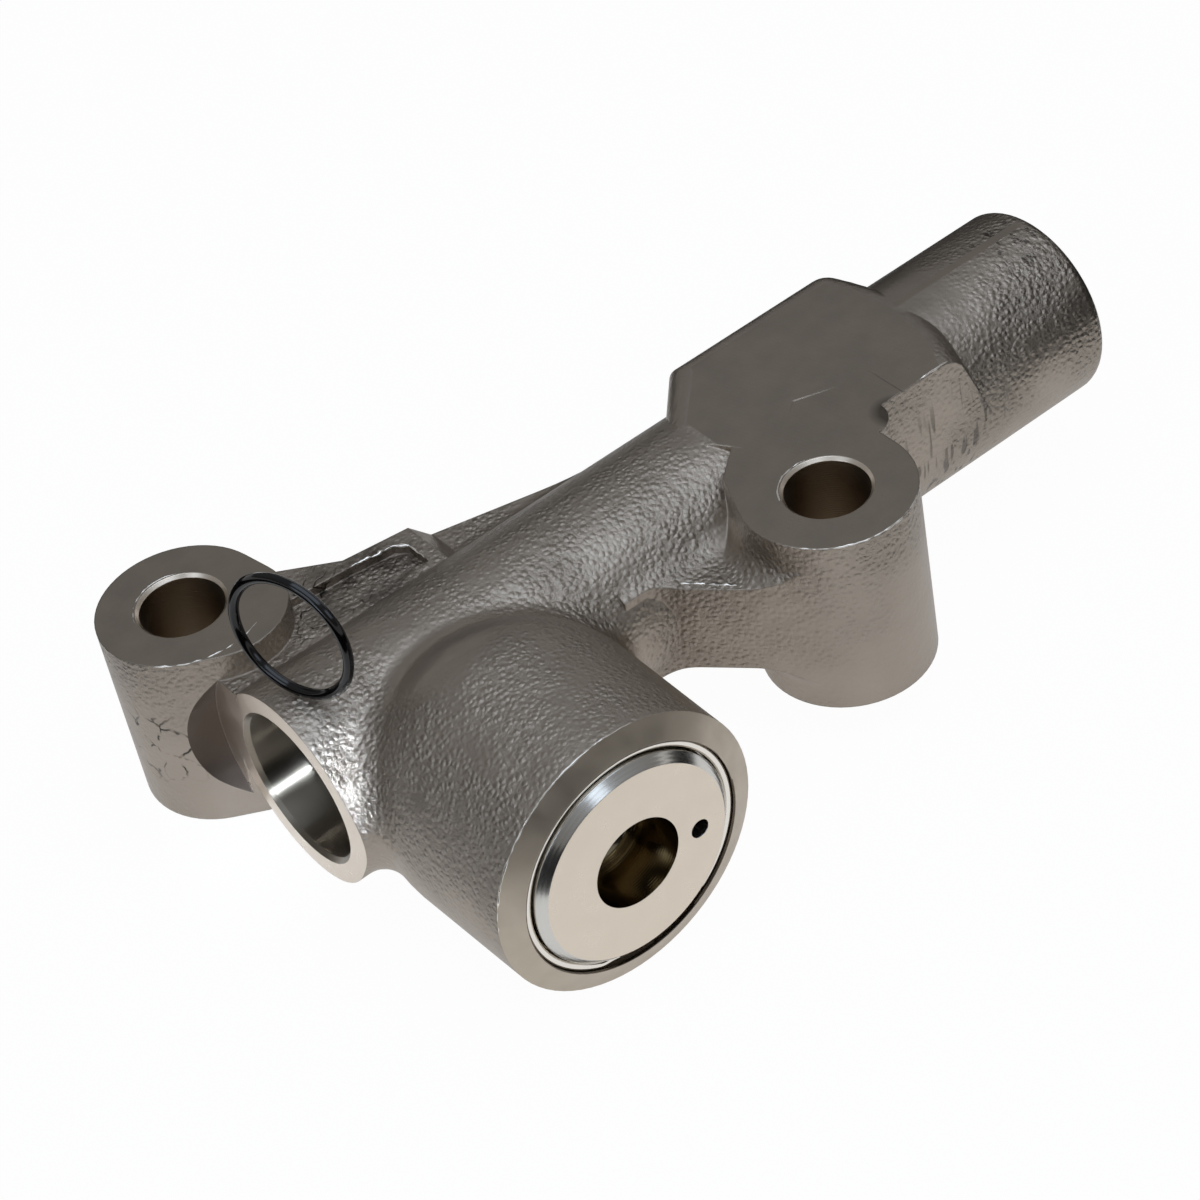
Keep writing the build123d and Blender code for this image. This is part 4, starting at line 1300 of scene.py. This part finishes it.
@dataclass
class PlungerSet:
    """The plunger with its hardened cup, retaining ring and return spring."""

    nodes: dict[str, Object]
    ring_y: float = -31.75
    ring_r: float = 12.38
    ring_wire: float = 0.5
    ring_start_deg: float = -62.5
    ring_sweep_deg: float = 315.0
    ring_bend: float = 0.45
    spring_y: float = -12.1

    def build(self, springs: Tree) -> None:
        """Builds the plunger, cup, ring and spring.

        Args:
            springs: Node tree of the springs.
        """
        PlungerBody(self.nodes["plunger"], "ground_plunger", "plunger_group", "ground_steel").build()
        MachinedPiece(self.nodes["plunger_cup"], "hardened_cup", "plunger_group", "hard_steel").build()
        place = Matrix.Translation(Vector((BARREL_X, self.ring_y, 0)) * MM) @ OUT_OF_BARREL
        mesh = grow(bent_ring_tree(), place, Radius=self.ring_r * MM, Wire=self.ring_wire * MM,
                    Start=radians(self.ring_start_deg), Sweep=radians(self.ring_sweep_deg),
                    Bend=self.ring_bend * MM, Finish=RING_WIRE.material())
        settle("wire_retaining_ring", mesh, "housing", "spring_steel", "plunger_retaining_ring")
        Spring("wound_plunger_spring", "plunger_spring", "plunger_slide", OUT_OF_BARREL,
               (BARREL_X, self.spring_y, 0), radius=8.0, wire=0.85, length=18.2, turns=4.5, travel=5.5,
               fixed_at_origin=True).build(springs)


@dataclass
class CheckValve:
    """The ball valve in the floor of the barrel."""

    nodes: dict[str, Object]
    ball_top_y: float = -14.489

    def build(self, springs: Tree) -> None:
        """Dresses the seat, the ball and the cage, and winds the ball's spring.

        Args:
            springs: Node tree of the springs.
        """
        dress_node(self.nodes["valve_seat"], CUP_STEEL)
        dress_node(self.nodes["check_ball"], BALL_STEEL)
        dress_node(self.nodes["valve_cage"], PRESSED_STEEL)
        Spring("wound_ball_spring", "check_ball_spring", "check_ball_lift", OUT_OF_BARREL,
               (BARREL_X, self.ball_top_y, 0), radius=1.04, wire=0.14, length=2.0, turns=3.0, travel=0.8,
               fixed_at_origin=False).build(springs)


@dataclass
class Accumulator:
    """The spring-loaded piston in the closed half of the tube."""

    nodes: dict[str, Object]
    crown_x: float = 50.55

    def build(self, springs: Tree) -> None:
        """Dresses the piston and its rings, and winds its spring.

        Args:
            springs: Node tree of the springs.
        """
        dress_node(self.nodes["accumulator_piston"], GROUND_SIDE)
        dress_node(self.nodes["accumulator_seal_ring"], RUBBER)
        dress_node(self.nodes["accumulator_stop_ring"], PRESSED_STEEL)
        Spring("wound_accumulator_spring", "accumulator_spring", "accumulator_slide", ALONG_TUBE,
               (self.crown_x, 0, 0), radius=4.3, wire=0.7, length=46.45, turns=10.0, travel=10.0,
               fixed_at_origin=False).build(springs)


@dataclass
class FeedSeal:
    """The loose O-ring that stands on the tube's crest beside the open mouth."""

    tube_r: float = 11.15
    gap: float = 0.05
    wire: float = 0.6
    outer_r: float = 7.45
    x: float = 3.8
    y: float = -0.6
    turn_deg: float = 19.0
    lean_deg: float = -5.0
    flash: float = 0.05

    def build(self) -> None:
        """Moulds the ring in its place, a hair thinner so that its flash stays within the CAD's ring."""
        ring_r = self.outer_r - self.wire
        lean = radians(self.lean_deg)
        turn = radians(self.turn_deg)
        axis = Vector((cos(turn) * cos(lean), sin(turn) * cos(lean), sin(lean)))
        centre = Vector((self.x, self.y, self.tube_r + self.gap + self.wire + ring_r * cos(lean)))
        place = Matrix.Translation(centre * MM) @ axis.to_track_quat("Z", "Y").to_matrix().to_4x4()
        mesh = grow(seal_tree(), place, Radius=ring_r * MM, Wire=(self.wire - self.flash) * MM,
                    Flash=self.flash * MM, Finish=RUBBER.material())
        settle("moulded_feed_o_ring", mesh, "housing", "seal_rubber", "feed_o_ring")


def main() -> None:
    """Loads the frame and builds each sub-assembly."""
    logging.basicConfig(level=logging.INFO, format="%(name)s: %(message)s")
    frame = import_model()
    cad_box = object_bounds()
    nodes = frame["nodes"]
    bpy.context.scene.view_settings.view_transform = "Standard"
    Studio().build(cad_box[0].z)
    Casting(nodes["body_casting"], "iron_casting", "housing", "cast_body").build()
    BurrsAndHighlights().build()
    springs = spring_tree()
    PlungerSet(nodes).build(springs)
    CheckValve(nodes).build(springs)
    Accumulator(nodes).build(springs)
    FeedSeal().build()


if __name__ == "__main__":
    main()
